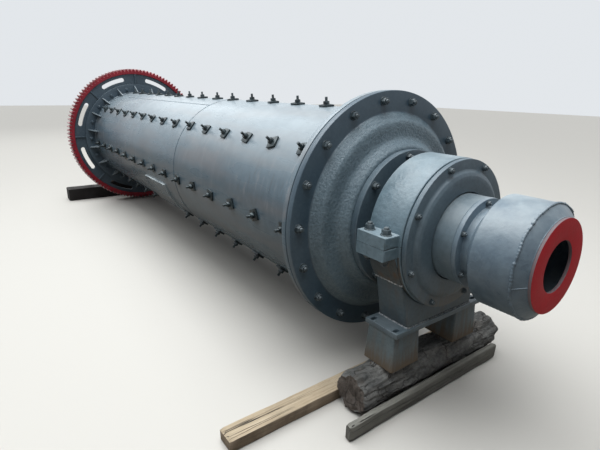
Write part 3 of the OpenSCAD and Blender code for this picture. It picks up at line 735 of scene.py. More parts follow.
seat_angle = math.degrees(math.asin(-SHOULDER_Z / HOUSING_R))
for end, middle_x, way in BEARINGS:
    pedestal_low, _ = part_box(end + "_pedestal")
    foot_z = pedestal_low.z - AXIS_Z
    outline = (
        [(-PEDESTAL_FOOT, foot_z), (PEDESTAL_FOOT, foot_z), (PEDESTAL_TOP, SHOULDER_Z)]
        + arc(HOUSING_R, -seat_angle, -180 + seat_angle, 40)
        + [(-PEDESTAL_TOP, SHOULDER_Z)]
    )
    points, faces = cut_plate(outline, [], PEDESTAL_TOP_W, SHOULDER_EDGE, across_mill(0.0))
    tapered = []
    for x, y, z in points:
        down = max(0.0, (AXIS_Z + SHOULDER_Z - z) / (SHOULDER_Z - foot_z))
        tapered.append((middle_x + x * (1 + down * (PEDESTAL_FOOT_W / PEDESTAL_TOP_W - 1)), y, z))
    place_piece(
        end + "_tapered_pedestal",
        (tapered, faces),
        stained_paint,
        "stand",
        [end + "_pedestal"],
        sharp=30,
    )

    here = across_mill(middle_x)
    half_ring = arc(HOUSING_R, 180, 360, 96) + arc(RING_BORE, 360, 180, 64)
    lug = [(-LUG_Y, -SPLIT_GAP), (-LUG_Y, -LUG_T), (-LUG_FOOT, -LUG_T), (-LUG_ROOT, -SPLIT_GAP)]
    shoulder = [
        (-SHOULDER_Y, -LUG_T + 0.010),
        (-SHOULDER_Y, -LUG_T - 0.004),
        (-SHOULDER_FOOT, SHOULDER_Z),
        (-SHOULDER_ROOT, SHOULDER_Z),
        (-LUG_ROOT, -LUG_T + 0.010),
    ]
    lower_half = [cut_plate(half_ring, [], HOUSING_W, HOUSING_EDGE, here)]
    lower_half += on_both_sides(lug, LUG_W, LUG_EDGE, here)
    lower_half += on_both_sides(shoulder, SHOULDER_W, SHOULDER_EDGE, here)
    base_part = place_piece(
        end + "_lower_housing",
        join(lower_half),
        cast_paint,
        "stand",
        [end + "_housing_base"],
        sharp=30,
    )
    base_part.data.materials.append(shoulder_paint)
    for polygon in base_part.data.polygons:
        x, y, z = polygon.center
        below_lug = z < AXIS_Z - LUG_T + 0.004
        between_faces = abs(x - middle_x) < SHOULDER_W / 2 + 0.001
        if below_lug and between_faces and math.hypot(y, z - AXIS_Z) > HOUSING_R - 0.012:
            polygon.material_index = 1

    cap_ring = arc(HOUSING_R, SPLIT_ANGLE, 180 - SPLIT_ANGLE, 96)
    cap_ring += arc(RING_BORE, 180 - SPLIT_ANGLE, SPLIT_ANGLE, 64)
    cap_lug = [(-LUG_Y, SPLIT_GAP), (-LUG_ROOT, SPLIT_GAP), (-LUG_ROOT, LUG_T), (-LUG_Y, LUG_T)]
    cap = [cut_plate(cap_ring, [], HOUSING_W, HOUSING_EDGE, here)]
    cap += on_both_sides(cap_lug, LUG_W, LUG_EDGE, here)
    place_piece(
        end + "_housing_cap_casting",
        join(cap),
        cast_paint,
        "stand",
        [end + "_housing_cap"],
        sharp=30,
    )

    beads = []
    z_foot, z_top = pedestal_low.z, AXIS_Z + SHOULDER_Z
    half_top, half_foot = PEDESTAL_TOP_W / 2, PEDESTAL_FOOT_W / 2
    for side in (-1, 1):
        y_top, y_foot = side * (PEDESTAL_TOP - 0.001), side * PEDESTAL_FOOT
        for sign in (-1, 1):
            x = middle_x + sign * half_top
            seam = straight((x, y_top, z_top), (x, side * SEAM_END, z_top))
            beads.append(weld_bead(seam, 0.006, side + sign))
            x = middle_x + sign * half_foot
            seam = straight((x, -PEDESTAL_FOOT, z_foot), (x, PEDESTAL_FOOT, z_foot))
            beads.append(weld_bead(seam, 0.006, sign))
        seam = straight((middle_x - half_top, y_top, z_top), (middle_x + half_top, y_top, z_top))
        beads.append(weld_bead(seam, 0.007, side))
        seam = straight((middle_x - half_foot, y_foot, z_foot), (middle_x + half_foot, y_foot, z_foot))
        beads.append(weld_bead(seam, 0.006, side * 3))
    place_piece(end + "_pedestal_welds", join(beads), weld_paint, "stand", sharp=80)

# The bearing covers close the housing round the turning neck. They are turned castings:
# a bolted rim, a joint step behind it and a raised boss; the inner one is a plain ring.


def turned(profile, segments=192, ends=(0.0, 360.0)):
    """Turns a closed profile of (radius, x) about the mill axis; angles go down the seen side."""
    whole = abs(ends[1] - ends[0]) >= 359.999
    count = segments if whole else segments + 1
    rows = len(profile)
    points = []
    for s in range(count):
        a = math.radians(ends[0] + (ends[1] - ends[0]) * s / segments)
        for r, x in profile:
            points.append((x, -r * math.sin(a), AXIS_Z + r * math.cos(a)))
    faces = []
    for s in range(segments):
        here, there = s * rows, (s + 1) % count * rows
        for k in range(rows):
            m = (k + 1) % rows
            faces.append((here + k, there + k, there + m, here + m))
    if not whole:
        faces.append(tuple(range(rows)))
        faces.append(tuple(reversed(range((count - 1) * rows, count * rows))))
    return points, faces


def eased(profile, radius, steps=3):
    """Rounds every corner of a closed profile by at most the given radius."""
    made = []
    for k, corner in enumerate(profile):
        here = Vector(corner)
        before, after = Vector(profile[k - 1]) - here, Vector(profile[(k + 1) % len(profile)]) - here
        cut = min(radius, before.length * 0.45, after.length * 0.45)
        first, last = here + before.normalized() * cut, here + after.normalized() * cut
        for s in range(steps + 1):
            t = s / steps
            made.append(tuple(first * (1 - t) ** 2 + here * 2 * t * (1 - t) + last * t**2))
    return made


def outwards(profile, start, way):
    """Places a profile of (radius, distance) along the mill, running outwards one way."""
    return [(r, start + way * d) for r, d in (profile if way > 0 else reversed(profile))]


JOURNAL_R = 0.230
SEAL_R = JOURNAL_R + 0.006
COVER_R, COVER_T, COVER_STEP_R = 0.400, 0.032, 0.388
BOSS_T = 0.054
COVER = [
    (SEAL_R, 0.0),
    (COVER_STEP_R, 0.0),
    (COVER_STEP_R, 0.006),
    (COVER_R, 0.006),
    (COVER_R, COVER_T),
    (0.348, COVER_T),
    (0.341, 0.036),
    (0.334, 0.0456),
    (0.318, 0.0522),
    (0.300, BOSS_T),
    (SEAL_R, BOSS_T),
]
INNER_COVER = [(SEAL_R, 0.0), (0.350, 0.0), (0.350, 0.024), (SEAL_R, 0.024)]
face_paint = machine_paint(
    "face_paint",
    tone(78, 95, 107),
    tone(106, 123, 133),
    roughness=0.36,
    relief=0.0008,
    patch=3.0,
    skin=55.0,
    rust=0.08,
    dust_and_sheen=0.12,
    low=(tone(122, 110, 94), 0.56, 0.80, 0.55),
)
for end, middle_x, way in BEARINGS:
    for piece_end, node_end, profile, facing_way in (
        ("_turned_cover", "_outer_cover", COVER, way),
        ("_inner_ring_cover", "_inner_cover", INNER_COVER, -way),
    ):
        cover = turned(eased(outwards(profile, middle_x + facing_way * HOUSING_W / 2, facing_way), 0.003))
        place_piece(end + piece_end, cover, face_paint, "stand", [end + node_end])

# Hex bolts with round washers hold the covers, the housing lugs, the heads, the journals
# and the feeder. They were painted over with the rest, and the paint has faded in patches.

WASHER_T, THREAD_PITCH = 0.004, 0.003


def level_ring(radius, z, count):
    turns = [2 * math.pi * k / count for k in range(count)]
    return [(radius * math.cos(a), radius * math.sin(a), z) for a in turns]


def hex_bolt(across_flats, head, washer_r, shank_r, shank):
    """One bolt head on its washer, with the stud end out of its top, standing on the plane Z = 0."""
    washer = [(washer_r, 0.0), (washer_r, WASHER_T - 0.001), (washer_r - 0.001, WASHER_T)]
    corner = across_flats / 2 / math.cos(math.pi / 6)
    top = WASHER_T + head
    # the head narrows to a round chamfer over its top
    rows = []
    for shrink, z in ((1.0, WASHER_T), (1.0, WASHER_T + head * 0.84), (0.86, top)):
        row = []
        for k in range(6):
            for share in (0.0, 0.5):
                a, b = k * math.pi / 3, (k + 1) * math.pi / 3
                x = (1 - share) * math.cos(a) + share * math.cos(b)
                y = (1 - share) * math.sin(a) + share * math.sin(b)
                pull = min(1.0, shrink / math.hypot(x, y) * 0.98) if shrink < 1 else 1.0
                row.append((corner * x * pull, corner * y * pull, z))
        rows.append(row)
    stud = [(shank_r, top - 0.004)]
    for k in range(max(2, int(shank / THREAD_PITCH))):
        z = top + k * THREAD_PITCH
        stud += [(shank_r, z), (shank_r * 0.92, z + THREAD_PITCH / 2)]
    stud.append((shank_r * 0.8, stud[-1][1] + 0.001))
    washer_part = loft([level_ring(r, z, 24) for r, z in washer])
    stud_part = loft([level_ring(r, z, 14) for r, z in stud])
    return join([washer_part, loft(rows), stud_part])


def repeat(template, places):
    """Copies of one small part at many places, as one mesh."""
    points, faces = template
    base = np.array(points)
    all_points, all_faces = [], []
    for matrix in places:
        m = np.array(matrix)
        start = len(all_points)
        all_points.extend((base @ m[:3, :3].T + m[:3, 3]).tolist())
        all_faces.extend(tuple(i + start for i in f) for f in faces)
    return all_points, all_faces


def on_drum(angle, radius, x):
    """A place round the mill axis, in degrees from the top down the seen flank."""
    a = math.radians(angle)
    return (x, -radius * math.sin(a), AXIS_Z + radius * math.cos(a))


def bolt_circle(radius, x, count, first, way, seed):
    """Places on a circle about the mill axis, facing one way along it, each bolt turned by chance."""
    chance = random.Random(seed)
    face = Matrix.Rotation(math.pi / 2 * way, 4, "Y")
    places = []
    for k in range(count):
        spot = Matrix.Translation(on_drum(first + k * 360 / count, radius, x))
        places.append(spot @ face @ Matrix.Rotation(chance.uniform(0, 1.05), 4, "Z"))
    return places


bolt_paint, tree, shader = new_material("bolt_paint", roughness=0.4)
coat = paint_coat(tree, tone(48, 60, 67), tone(101, 113, 119), patch=24.0, skin=180.0, roughness=0.26)
# pale dust on the bolt tops, partly a painted highlight of the sky
with_dust_and_sheen = place_group(
    tree, settled_dust, {"Color": coat["Color"], "Dust": tone(198, 205, 207), "Amount": 0.2}
)
looks = {
    "Base Color": with_dust_and_sheen["Color"],
    "Roughness": coat["Roughness"],
    "Normal": bumped(tree, coat["Height"], distance=0.0005, strength=0.4),
}
fill(tree, shader.inputs, looks)

COVER_BOLTS_R, COVER_BOLTS, COVER_BOLTS_FIRST = 0.376, 8, 20.5
LUG_BOLT_X, LUG_BOLT_Y = 0.055, 0.450
cover_bolt = hex_bolt(across_flats=0.027, head=0.014, washer_r=0.018, shank_r=0.008, shank=0.003)
lug_bolt = hex_bolt(across_flats=0.041, head=0.024, washer_r=0.029, shank_r=0.0135, shank=0.014)
head_down = Matrix.Rotation(math.pi, 4, "X")
for end, middle_x, way in BEARINGS:
    rim_x = middle_x + way * (HOUSING_W / 2 + COVER_T)
    places = bolt_circle(COVER_BOLTS_R, rim_x, COVER_BOLTS, COVER_BOLTS_FIRST, way, 5)
    cover_bolts = repeat(cover_bolt, places)
    place_piece(end + "_cover_bolts", cover_bolts, bolt_paint, "stand", sharp=40)
    places = []
    for side in (-1, 1):
        for x in (-LUG_BOLT_X, LUG_BOLT_X):
            top = Matrix.Translation((middle_x + x, side * LUG_BOLT_Y, AXIS_Z + LUG_T))
            under = Matrix.Translation((middle_x + x, side * LUG_BOLT_Y, AXIS_Z - LUG_T))
            places.append(top @ Matrix.Rotation(side + x * 9, 4, "Z"))
            places.append(under @ head_down)
    lug_bolts = repeat(lug_bolt, places)
    place_piece(end + "_lug_bolts", lug_bolts, bolt_paint, "stand", sharp=40)

# The drum is rolled plate in three courses, welded round and along. The seams stand a few
# millimetres proud, and the satin grey-blue paint shows the roll of the plate.

SHELL_R, SHELL_WALL, FLANGE_T = 0.610, 0.020, 0.040
SHELL_ENDS = (-5.397, -0.397)
# the side of each end flange that looks along the drum
FLANGE_BACKS = {"near": SHELL_ENDS[1] - FLANGE_T, "far": SHELL_ENDS[0] + FLANGE_T}
ROUND_SEAMS = (-2.317, -4.897)
# each seam along the drum: its angle and its two ends
LONG_SEAMS = ((23.0, -4.880, -2.330), (203.0, -2.300, -0.445), (150.0, -5.350, -4.915))

shell_paint, tree, shader = new_material("shell_paint")
spot, facing = surface(tree)
coat = paint_coat(tree, tone(79, 98, 111), tone(101, 121, 134), patch=1.6, skin=14.0, roughness=0.2)
roll = stretched_noise(tree, spot, (0.35, 1.0, 1.0), 2.2, 1.5)
# a warm smear of painted reflection of the ground over the plate; the same noise also varies the roughness
reflection_smear = stretched_noise(tree, spot, (0.3, 1.6, 1.6), 4.0, 3.0, 0.5)
ground_reflection_share = spread(tree, reflection_smear, 0.46, 0.72, 0.0, 0.6)
with_painted_reflections = blend_colour(tree, ground_reflection_share, coat["Color"], tone(112, 108, 109))
# pale and dark streaks of painted reflection, round the flanks here and there
on_flank = times(tree, spread(tree, facing["Z"], 0.75, 0.35), spread(tree, facing["Z"], -0.6, 0.0))
here_and_there = stretched_noise(tree, spot, (0.5, 1.0, 1.0), 1.7, 2.0)
on_flank = times(tree, on_flank, spread(tree, here_and_there, 0.42, 0.6))
reflection_streaks = stretched_noise(tree, spot, (3.0, 0.9, 0.9), 6.0, 5.0, 0.65)
pale_reflection_share = times(tree, on_flank, spread(tree, reflection_streaks, 0.52, 0.74, 0.0, 0.5))
with_painted_reflections = blend_colour(tree, pale_reflection_share, with_painted_reflections, tone(154, 151, 152))
dark_reflection_share = times(tree, on_flank, spread(tree, reflection_streaks, 0.46, 0.3, 0.0, 0.4))
with_painted_reflections = blend_colour(tree, dark_reflection_share, with_painted_reflections, tone(71, 69, 69))
# pale bluish dust over nearly all of the drum's top, which is also a painted highlight of the sky there
with_dust_and_sheen = place_group(
    tree, settled_dust, {"Color": with_painted_reflections, "Dust": tone(212, 221, 225), "Amount": 0.4, "Least": 0.75}
)
rolled = bumped(tree, roll, distance=0.010, strength=0.5)
looks = {
    "Base Color": with_dust_and_sheen["Color"],
    "Roughness": spread(tree, reflection_smear, 0.3, 0.8, 0.24, 0.34),
    "Normal": bumped(tree, coat["Height"], distance=0.0005, strength=0.25, under=rolled),
}
fill(tree, shader.inputs, looks)

outer = [(SHELL_R, SHELL_ENDS[0] + (SHELL_ENDS[1] - SHELL_ENDS[0]) * k / 40) for k in range(41)]
inner = [(SHELL_R - SHELL_WALL, SHELL_ENDS[1]), (SHELL_R - SHELL_WALL, SHELL_ENDS[0])]
drum_plate = turned(outer + inner, segments=240)
place_piece("drum_plate", drum_plate, shell_paint, "drum", ["shell"])

beads = []
for seam, x in enumerate(ROUND_SEAMS):
    path = []
    for k in range(720):
        stray = 0.002 * noise.noise(Vector((k * 0.025, seam, 0)))
        path.append(on_drum(k * 0.5, SHELL_R - 0.001, x + stray))
    beads.append(weld_bead(path, 0.0045, seam, closed=True))
for seam, (angle, start, end) in enumerate(LONG_SEAMS):
    path = []
    count = int((end - start) / 0.007)
    for k in range(count + 1):
        stray = 0.12 * noise.noise(Vector((k * 0.03, seam, 5)))
        path.append(on_drum(angle + stray, SHELL_R - 0.001, start + (end - start) * k / count))
    beads.append(weld_bead(path, 0.0045, 7 + seam))
for end, way in (("near", -1), ("far", 1)):
    x = FLANGE_BACKS[end] + way * 0.002
    path = [on_drum(k * 360 / 540, SHELL_R + 0.002, x) for k in range(540)]
    beads.append(weld_bead(path, 0.010, 31 + way, closed=True))
place_piece("drum_weld_seams", join(beads), shell_paint, "drum", sharp=80)

# Liner bolts hold the plates inside the drum: eight rows of fifteen, less two at the manhole.
# Each is a forged stud with a dished square washer and a nut, black with oil, and turned as
# it was left.

ROW_ANGLES = [5 + 45 * k for k in range(8)]
ROW_FIRST, ROW_PITCH, ROW_COUNT = -0.582, 0.328, 15
MANHOLE_X, MANHOLE_L = -2.927, 0.580
MANHOLE_ANGLE, MANHOLE_SPAN = 127.0, 40.0
# each outline of the washer: half its width, its height, and how round its corners are
WASHER = ((0.037, -0.004, 0.1), (0.040, 0.005, 0.1), (0.039, 0.012, 0.12), (0.022, 0.017, 0.9))
NUT_Z = 0.013


def liner_bolt():
    rows = []
    for half, z, round_off in WASHER:
        row = []
        for k in range(32):
            a = 2 * math.pi * k / 32
            square = 1 / max(abs(math.cos(a)), abs(math.sin(a)))
            reach = half * ((1 - round_off) * min(square, 1.36) + round_off)
            row.append((reach * math.cos(a), reach * math.sin(a), z))
        rows.append(row)
    nut, nut_faces = hex_bolt(across_flats=0.036, head=0.019, washer_r=0.022, shank_r=0.0095, shank=0.028)
    return join([loft(rows), ([(x, y, z + NUT_Z) for x, y, z in nut], nut_faces)])


oily_steel, tree, shader = new_material("oily_steel", roughness=0.42, metallic=0.35)
coat = paint_coat(tree, tone(25, 33, 37), tone(78, 91, 95), patch=30.0, skin=140.0, roughness=0.3)
looks = {
    "Base Color": coat["Color"],
    "Roughness": coat["Roughness"],
    "Normal": bumped(tree, coat["Height"], distance=0.001, strength=0.7),
}
fill(tree, shader.inputs, looks)

chance = random.Random(41)
places = []
for angle in ROW_ANGLES:
    by_manhole = abs(angle - MANHOLE_ANGLE) < 25
    for k in range(ROW_COUNT):
        x = ROW_FIRST - ROW_PITCH * k + chance.uniform(-0.006, 0.006)
        if by_manhole and abs(x - MANHOLE_X) < MANHOLE_L / 2 + 0.05:
            continue
        a = math.radians(angle + chance.uniform(-0.35, 0.35))
        stand = Matrix.Translation(on_drum(math.degrees(a), SHELL_R, x)) @ Matrix.Rotation(a, 4, "X")
        lean = Matrix.Rotation(math.radians(chance.uniform(-3, 3)), 4, "Y")
        places.append(stand @ lean @ Matrix.Rotation(math.radians(chance.uniform(-24, 24)), 4, "Z"))
liner_bolts = repeat(liner_bolt(), places)
place_piece("liner_bolts", liner_bolts, oily_steel, "drum", sharp=40)

# The manhole is a rolled plate cover lying on a welded frame, low on the seen flank. Both
# are thin, and their edges carry a pale painted highlight, so they show as a pale line.

rubbed_paint = machine_paint(
    "rubbed_paint",
    tone(175, 186, 192),
    tone(228, 235, 235),
    roughness=0.34,
    relief=0.0006,
    patch=9.0,
    skin=80.0,
    dust_and_sheen=0.3,
)
# the frame and the cover: inner radius, outer radius, and how far the edge is set in, in
# metres along the mill and in degrees round it
for node_name, name, inner_r, outer_r, inset, turned_in in (
    ("manhole_frame", "manhole_welded_frame", SHELL_R - 0.002, SHELL_R + 0.006, 0.0, 0.0),
    ("manhole_cover", "manhole_rolled_cover", SHELL_R + 0.0062, SHELL_R + 0.016, 0.002, 0.12),
):
    half_length, half_span = MANHOLE_L / 2 - inset, MANHOLE_SPAN / 2 - turned_in
    start, end = MANHOLE_X - half_length, MANHOLE_X + half_length
    profile = eased([(inner_r, start), (outer_r, start), (outer_r, end), (inner_r, end)], 0.002)
    curved = turned(profile, segments=48, ends=(MANHOLE_ANGLE - half_span, MANHOLE_ANGLE + half_span))
    plate = place_piece(name, curved, shell_paint, "drum", [node_name], sharp=40)
    plate.data.materials.append(rubbed_paint)
    # faces that look along or round the drum take the pale painted highlight
    for polygon in plate.data.polygons:
        outward = Vector((0, polygon.center.y, polygon.center.z - AXIS_Z)).normalized()
        if abs(polygon.normal.dot(outward)) < 0.7:
            polygon.material_index = 1

# Plate flanges close both ends of the drum. The far one is larger and is stiffened from
# behind by gusset plates, and both are welded to the plate and bolted to their heads.

NEAR_FLANGE_R, FAR_FLANGE_R = 0.720, 0.735
# the near flange stops short of its head, so that the joint between them shows
NEAR_FLANGE_FRONT = SHELL_ENDS[1] - 0.005
GUSSETS, GUSSET_FIRST, GUSSET_T = 18, 1, 0.012
GUSSET_L, GUSSET_H, GUSSET_EDGE, GUSSET_SUNK = 0.155, 0.102, 0.012, 0.004
# each gusset has a bead along its foot and one up its back, on both of its sides
FOOT_WELD_L, BACK_WELD_L = GUSSET_L - 0.003, GUSSET_H - 0.004
WELD_OFF = GUSSET_T / 2 + 0.001
GUSSET = [
    (SHELL_R - GUSSET_SUNK, 0),
    (SHELL_R + GUSSET_H, 0),
    (SHELL_R + GUSSET_H, GUSSET_EDGE),
    (SHELL_R + GUSSET_EDGE, GUSSET_L),
    (SHELL_R - GUSSET_SUNK, GUSSET_L),
]
flange_paint = machine_paint(
    "flange_paint",
    tone(60, 75, 87),
    tone(85, 100, 111),
    roughness=0.36,
    relief=0.0008,
    patch=3.0,
    skin=60.0,
    dust_and_sheen=0.15,
)
gusset_paint = machine_paint(
    "gusset_paint",
    tone(99, 113, 122),
    tone(142, 156, 165),
    roughness=0.34,
    relief=0.0008,
    patch=5.0,
    skin=60.0,
    dust_and_sheen=0.5,
)


def flange_ring(radius, start, end):
    return turned(eased([(SHELL_R, start), (radius, start), (radius, end), (SHELL_R, end)], 0.003))


near_ring = flange_ring(NEAR_FLANGE_R, FLANGE_BACKS["near"], NEAR_FLANGE_FRONT)
place_piece("near_flange_ring", near_ring, shell_paint, "drum", ["near_shell_flange"])
far_ring = flange_ring(FAR_FLANGE_R, SHELL_ENDS[0], FLANGE_BACKS["far"])
place_piece("far_flange_ring", far_ring, flange_paint, "drum", ["far_shell_flange"])

gussets, beads = [], []
back, along = Vector((FLANGE_BACKS["far"], 0, AXIS_Z)), Vector((1, 0, 0))
for k in range(GUSSETS):
    a = math.radians(GUSSET_FIRST + 360 * k / GUSSETS)
    out = Vector((0, -math.sin(a), math.cos(a)))
    side = out.cross(along)
    upended = Matrix((out, along, side)).transposed().to_4x4()
    gussets.append(cut_plate(GUSSET, [], GUSSET_T, 0.0015, Matrix.Translation(back) @ upended))
    for off in (-WELD_OFF, WELD_OFF):
        foot = back + out * (SHELL_R + 0.001) + side * off
        root = foot + along * 0.001
        beads.append(weld_bead(straight(foot, foot + along * FOOT_WELD_L), 0.004, k + off))
        beads.append(weld_bead(straight(root, root + out * BACK_WELD_L), 0.004, k - off))
place_piece(
    "flange_gusset_plates", join(gussets), gusset_paint, "drum", ["shell_gussets"], sharp=30
)
place_piece("gusset_welds", join(beads), flange_paint, "drum", sharp=80)

# The heads are dished iron castings, rough from the sand on the dish and machined on the
# flange. A circle of bolts holds each one to the drum's flange, and another the journal to it.

FACE_GAP = 0.357
BORE_R, HUB_T, HUB_FLANGE_R, HUB_FACE = 0.150, 0.120, 0.405, 0.160
HUB_BOLTS_R = 0.372
DISH_FOOT_R = 0.600
JOURNAL_END = FACE_GAP + 0.268
HEAD = [
    (BORE_R, 0.068),
    (0.371, 0.068),
    (0.400, 0.016),
    (0.498, 0.006),
    (0.548, -0.039),
    (NEAR_FLANGE_R, -0.039),
    (NEAR_FLANGE_R, 0.0),
    (0.607, 0.0),
    (DISH_FOOT_R, 0.002),
    (0.593, 0.008),
    (0.566, 0.040),
    (0.560, 0.048),
    (0.552, 0.0535),
    (0.540, 0.0575),
    (0.520, 0.0605),
    (0.490, 0.0625),
    (0.472, 0.065),
    (0.460, 0.070),
    (0.450, 0.078),
    (0.440, 0.092),
    (0.432, 0.103),
    (0.425, 0.111),
    (0.418, 0.117),
    (0.410, HUB_T),
    (BORE_R, HUB_T),
]
JOURNAL = [
    (BORE_R, HUB_T),
    (HUB_FLANGE_R, HUB_T),
    (HUB_FLANGE_R, HUB_FACE),
    (0.262, HUB_FACE),
    (0.246, 0.163),
    (0.235, 0.173),
    (JOURNAL_R, 0.190),
    (JOURNAL_R, JOURNAL_END),
    (BORE_R, JOURNAL_END),
]


def from_axis(tree, spot):
    """How far a point of the surface lies from the mill axis."""
    offset = add(tree, "VectorMath", {0: spot, 1: (0, 0, AXIS_Z)}, operation="SUBTRACT")
    flat = add(tree, "VectorMath", {0: offset.outputs["Vector"], 1: (0, 1, 1)}, operation="MULTIPLY")
    return add(tree, "VectorMath", {0: flat.outputs["Vector"]}, operation="LENGTH").outputs["Value"]


head_casting, tree, shader = new_material("head_casting")
spot = add(tree, "TexCoord").outputs["Object"]
coat = paint_coat(tree, tone(86, 105, 116), tone(111, 131, 142), patch=5.0, skin=40.0, roughness=0.4)
face_coat = paint_coat(tree, tone(61, 80, 94), tone(83, 102, 115), patch=2.5, skin=60.0, roughness=0.34)
on_dish = spread(tree, from_axis(tree, spot), DISH_FOOT_R + 0.004, DISH_FOOT_R - 0.004)
sand = stretched_noise(tree, spot, (1.0, 0.6, 0.6), 95.0, 5.0, 0.7)
pits = add(tree, "TexVoronoi", {"Vector": spot, "Scale": 70.0}).outputs["Distance"]
sand_height = times(tree, plus(tree, sand, times(tree, pits, 0.35)), on_dish)
sandy = blend_colour(tree, spread(tree, sand, 0.4, 0.7, 0.0, 0.6), coat["Color"], tone(131, 148, 159))
sand_cast = bumped(tree, sand_height, distance=0.005, strength=1.0)
looks = {
    "Base Color": blend_colour(tree, on_dish, face_coat["Color"], sandy),
    "Roughness": spread(tree, on_dish, 0.0, 1.0, 0.34, 0.36),
    "Normal": bumped(tree, face_coat["Height"], distance=0.0007, strength=0.4, under=sand_cast),
}
fill(tree, shader.inputs, looks)

journal_paint = machine_paint(
    "journal_paint",
    tone(90, 106, 116),
    tone(117, 134, 144),
    roughness=0.32,
    relief=0.0012,
    patch=4.0,
    skin=50.0,
    dust_and_sheen=0.4,
)
for end, middle_x, way in BEARINGS:
    face_x = middle_x - way * FACE_GAP
    head = turned(eased(outwards(HEAD, face_x, way), 0.004), segments=216)
    place_piece(end + "_dished_head", head, head_casting, "drum", [end + "_head"])
    neck = turned(eased(outwards(JOURNAL, face_x, way), 0.004), segments=160)
    journal = place_piece(
        end + "_hollow_journal", neck, journal_paint, "drum", [end + "_trunnion"]
    )
    journal.data.materials.append(face_paint)
    for polygon in journal.data.polygons:
        x, y, z = polygon.center
        if math.hypot(y, z - AXIS_Z) > JOURNAL_R + 0.005 and way * (x - face_x) < HUB_FACE + 0.020:
            polygon.material_index = 1

flange_bolt = hex_bolt(across_flats=0.037, head=0.021, washer_r=0.026, shank_r=0.012, shank=0.014)
hub_bolt = hex_bolt(across_flats=0.034, head=0.020, washer_r=0.024, shank_r=0.011, shank=0.012)
# at each end: radius, first angle, chance seed and paint of the bolts through the flange
FLANGE_BOLTS = {"near": (0.667, 8.6, 12, bolt_paint), "far": (0.668, 11.0, 14, flange_paint)}
for end, middle_x, way in BEARINGS:
    radius, first, seed, paint = FLANGE_BOLTS[end]
    places = bolt_circle(radius, middle_x - way * FACE_GAP, 18, first, way, seed)
    places += bolt_circle(radius, FLANGE_BACKS[end], 18, first, -way, seed + 1)
    flange_bolts = repeat(flange_bolt, places)
    place_piece(end + "_flange_bolts", flange_bolts, paint, "drum", sharp=40)
for end, middle_x, way in BEARINGS:
    hub_x = middle_x - way * (FACE_GAP - HUB_FACE)
    hub_bolts = repeat(hub_bolt, bolt_circle(HUB_BOLTS_R, hub_x, 8, 6.0, way, 16))
    place_piece(end + "_hub_bolts", hub_bolts, bolt_paint, "drum", sharp=40)

# The girth gear drives the drum. It is a cast ring with cut teeth, painted dull crimson on
# the rim, on a slate web with kidney slots and radial ribs; the tooth tips are bare metal.

TEETH, MODULE, PRESSURE_ANGLE = 116, 0.016, 20
PITCH_R = TEETH * MODULE / 2
TIP_R, ROOT_R, RIM_IN_R = PITCH_R + MODULE, PITCH_R - 1.25 * MODULE, 0.872
RIM_FRONT, RIM_BACK, RIM_EDGE = -5.377, -5.557, 0.003
BASE_R = PITCH_R * math.cos(math.radians(PRESSURE_ANGLE))


def involute(radius):
    """How far an involute flank has turned by a radius, in radians."""
    angle = math.acos(BASE_R / radius)
    return math.tan(angle) - angle


def half_tooth(radius):
    """Half a tooth at a radius, as a share of the tooth pitch."""
    return 0.25 + (involute(PITCH_R) - involute(radius)) * TEETH / (2 * math.pi)


flank_radii = (ROOT_R + 0.004, PITCH_R - 0.008, PITCH_R, PITCH_R + 0.009, TIP_R - 0.0015)
flank = [(r, half_tooth(r)) for r in flank_radii]
root_half, tip_half = half_tooth(ROOT_R) + 0.02, half_tooth(TIP_R) - 0.02
# one tooth as (radius, share of the pitch), with a small round at its root and its tip
TOOTH = (
    [(ROOT_R, -0.5), (ROOT_R, -root_half)]
    + [(r, -half) for r, half in flank]
    + [(TIP_R, -tip_half), (TIP_R, tip_half)]
    + [(r, half) for r, half in reversed(flank)]
    + [(ROOT_R, root_half)]
)
toothed = [(r, (tooth + share) * 2 * math.pi / TEETH) for tooth in range(TEETH) for r, share in TOOTH]
count = len(toothed)
points = []
edges = ((RIM_FRONT, RIM_EDGE), (RIM_FRONT - RIM_EDGE, 0.0), (RIM_BACK + RIM_EDGE, 0.0), (RIM_BACK, RIM_EDGE))
for x, ease in edges:
    points += [(x, -(r - ease) * math.sin(a), AXIS_Z + (r - ease) * math.cos(a)) for r, a in toothed]
for x, ease in reversed(edges):
    r = RIM_IN_R + ease
    points += [(x, -r * math.sin(a), AXIS_Z + r * math.cos(a)) for _, a in toothed]
faces = []
loops = 2 * len(edges)
for s in range(loops):
    here, there = s * count, (s + 1) % loops * count
    for k in range(count):
        m = (k + 1) % count
        faces.append((here + k, there + k, there + m, here + m))

gear_red, tree, shader = new_material("gear_red")
spot, facing = surface(tree)
coat = paint_coat(tree, tone(131, 21, 37), tone(161, 34, 50), patch=5.0, skin=80.0, roughness=0.42)
reach = from_axis(tree, spot)
chips = even_noise(tree, spot, 46.0, 5.0)
chipped_reach = plus(tree, reach, times(tree, chips, 0.012))
at_tip = spread(tree, chipped_reach, TIP_R - 0.006, TIP_R + 0.002)
bare = times(tree, at_tip, spread(tree, chips, 0.35, 0.6, 0.3, 0.85))
off_end_face = spread(tree, maths(tree, "ABSOLUTE", facing["X"]), 0.6, 0.3)
on_flanks = times(tree, off_end_face, spread(tree, reach, TIP_R - 0.026, TIP_R - 0.008))
bare = maths(tree, "MAXIMUM", bare, times(tree, on_flanks, 0.3))
looks = {
    "Base Color": blend_colour(tree, bare, coat["Color"], tone(190, 170, 170)),
    "Metallic": times(tree, bare, 0.75),
    "Roughness": coat["Roughness"],
    "Normal": bumped(tree, coat["Height"], distance=0.001, strength=0.5),
}
fill(tree, shader.inputs, looks)
place_piece("girth_gear_rim", (points, faces), gear_red, "drum", ["gear_rim"], sharp=28)

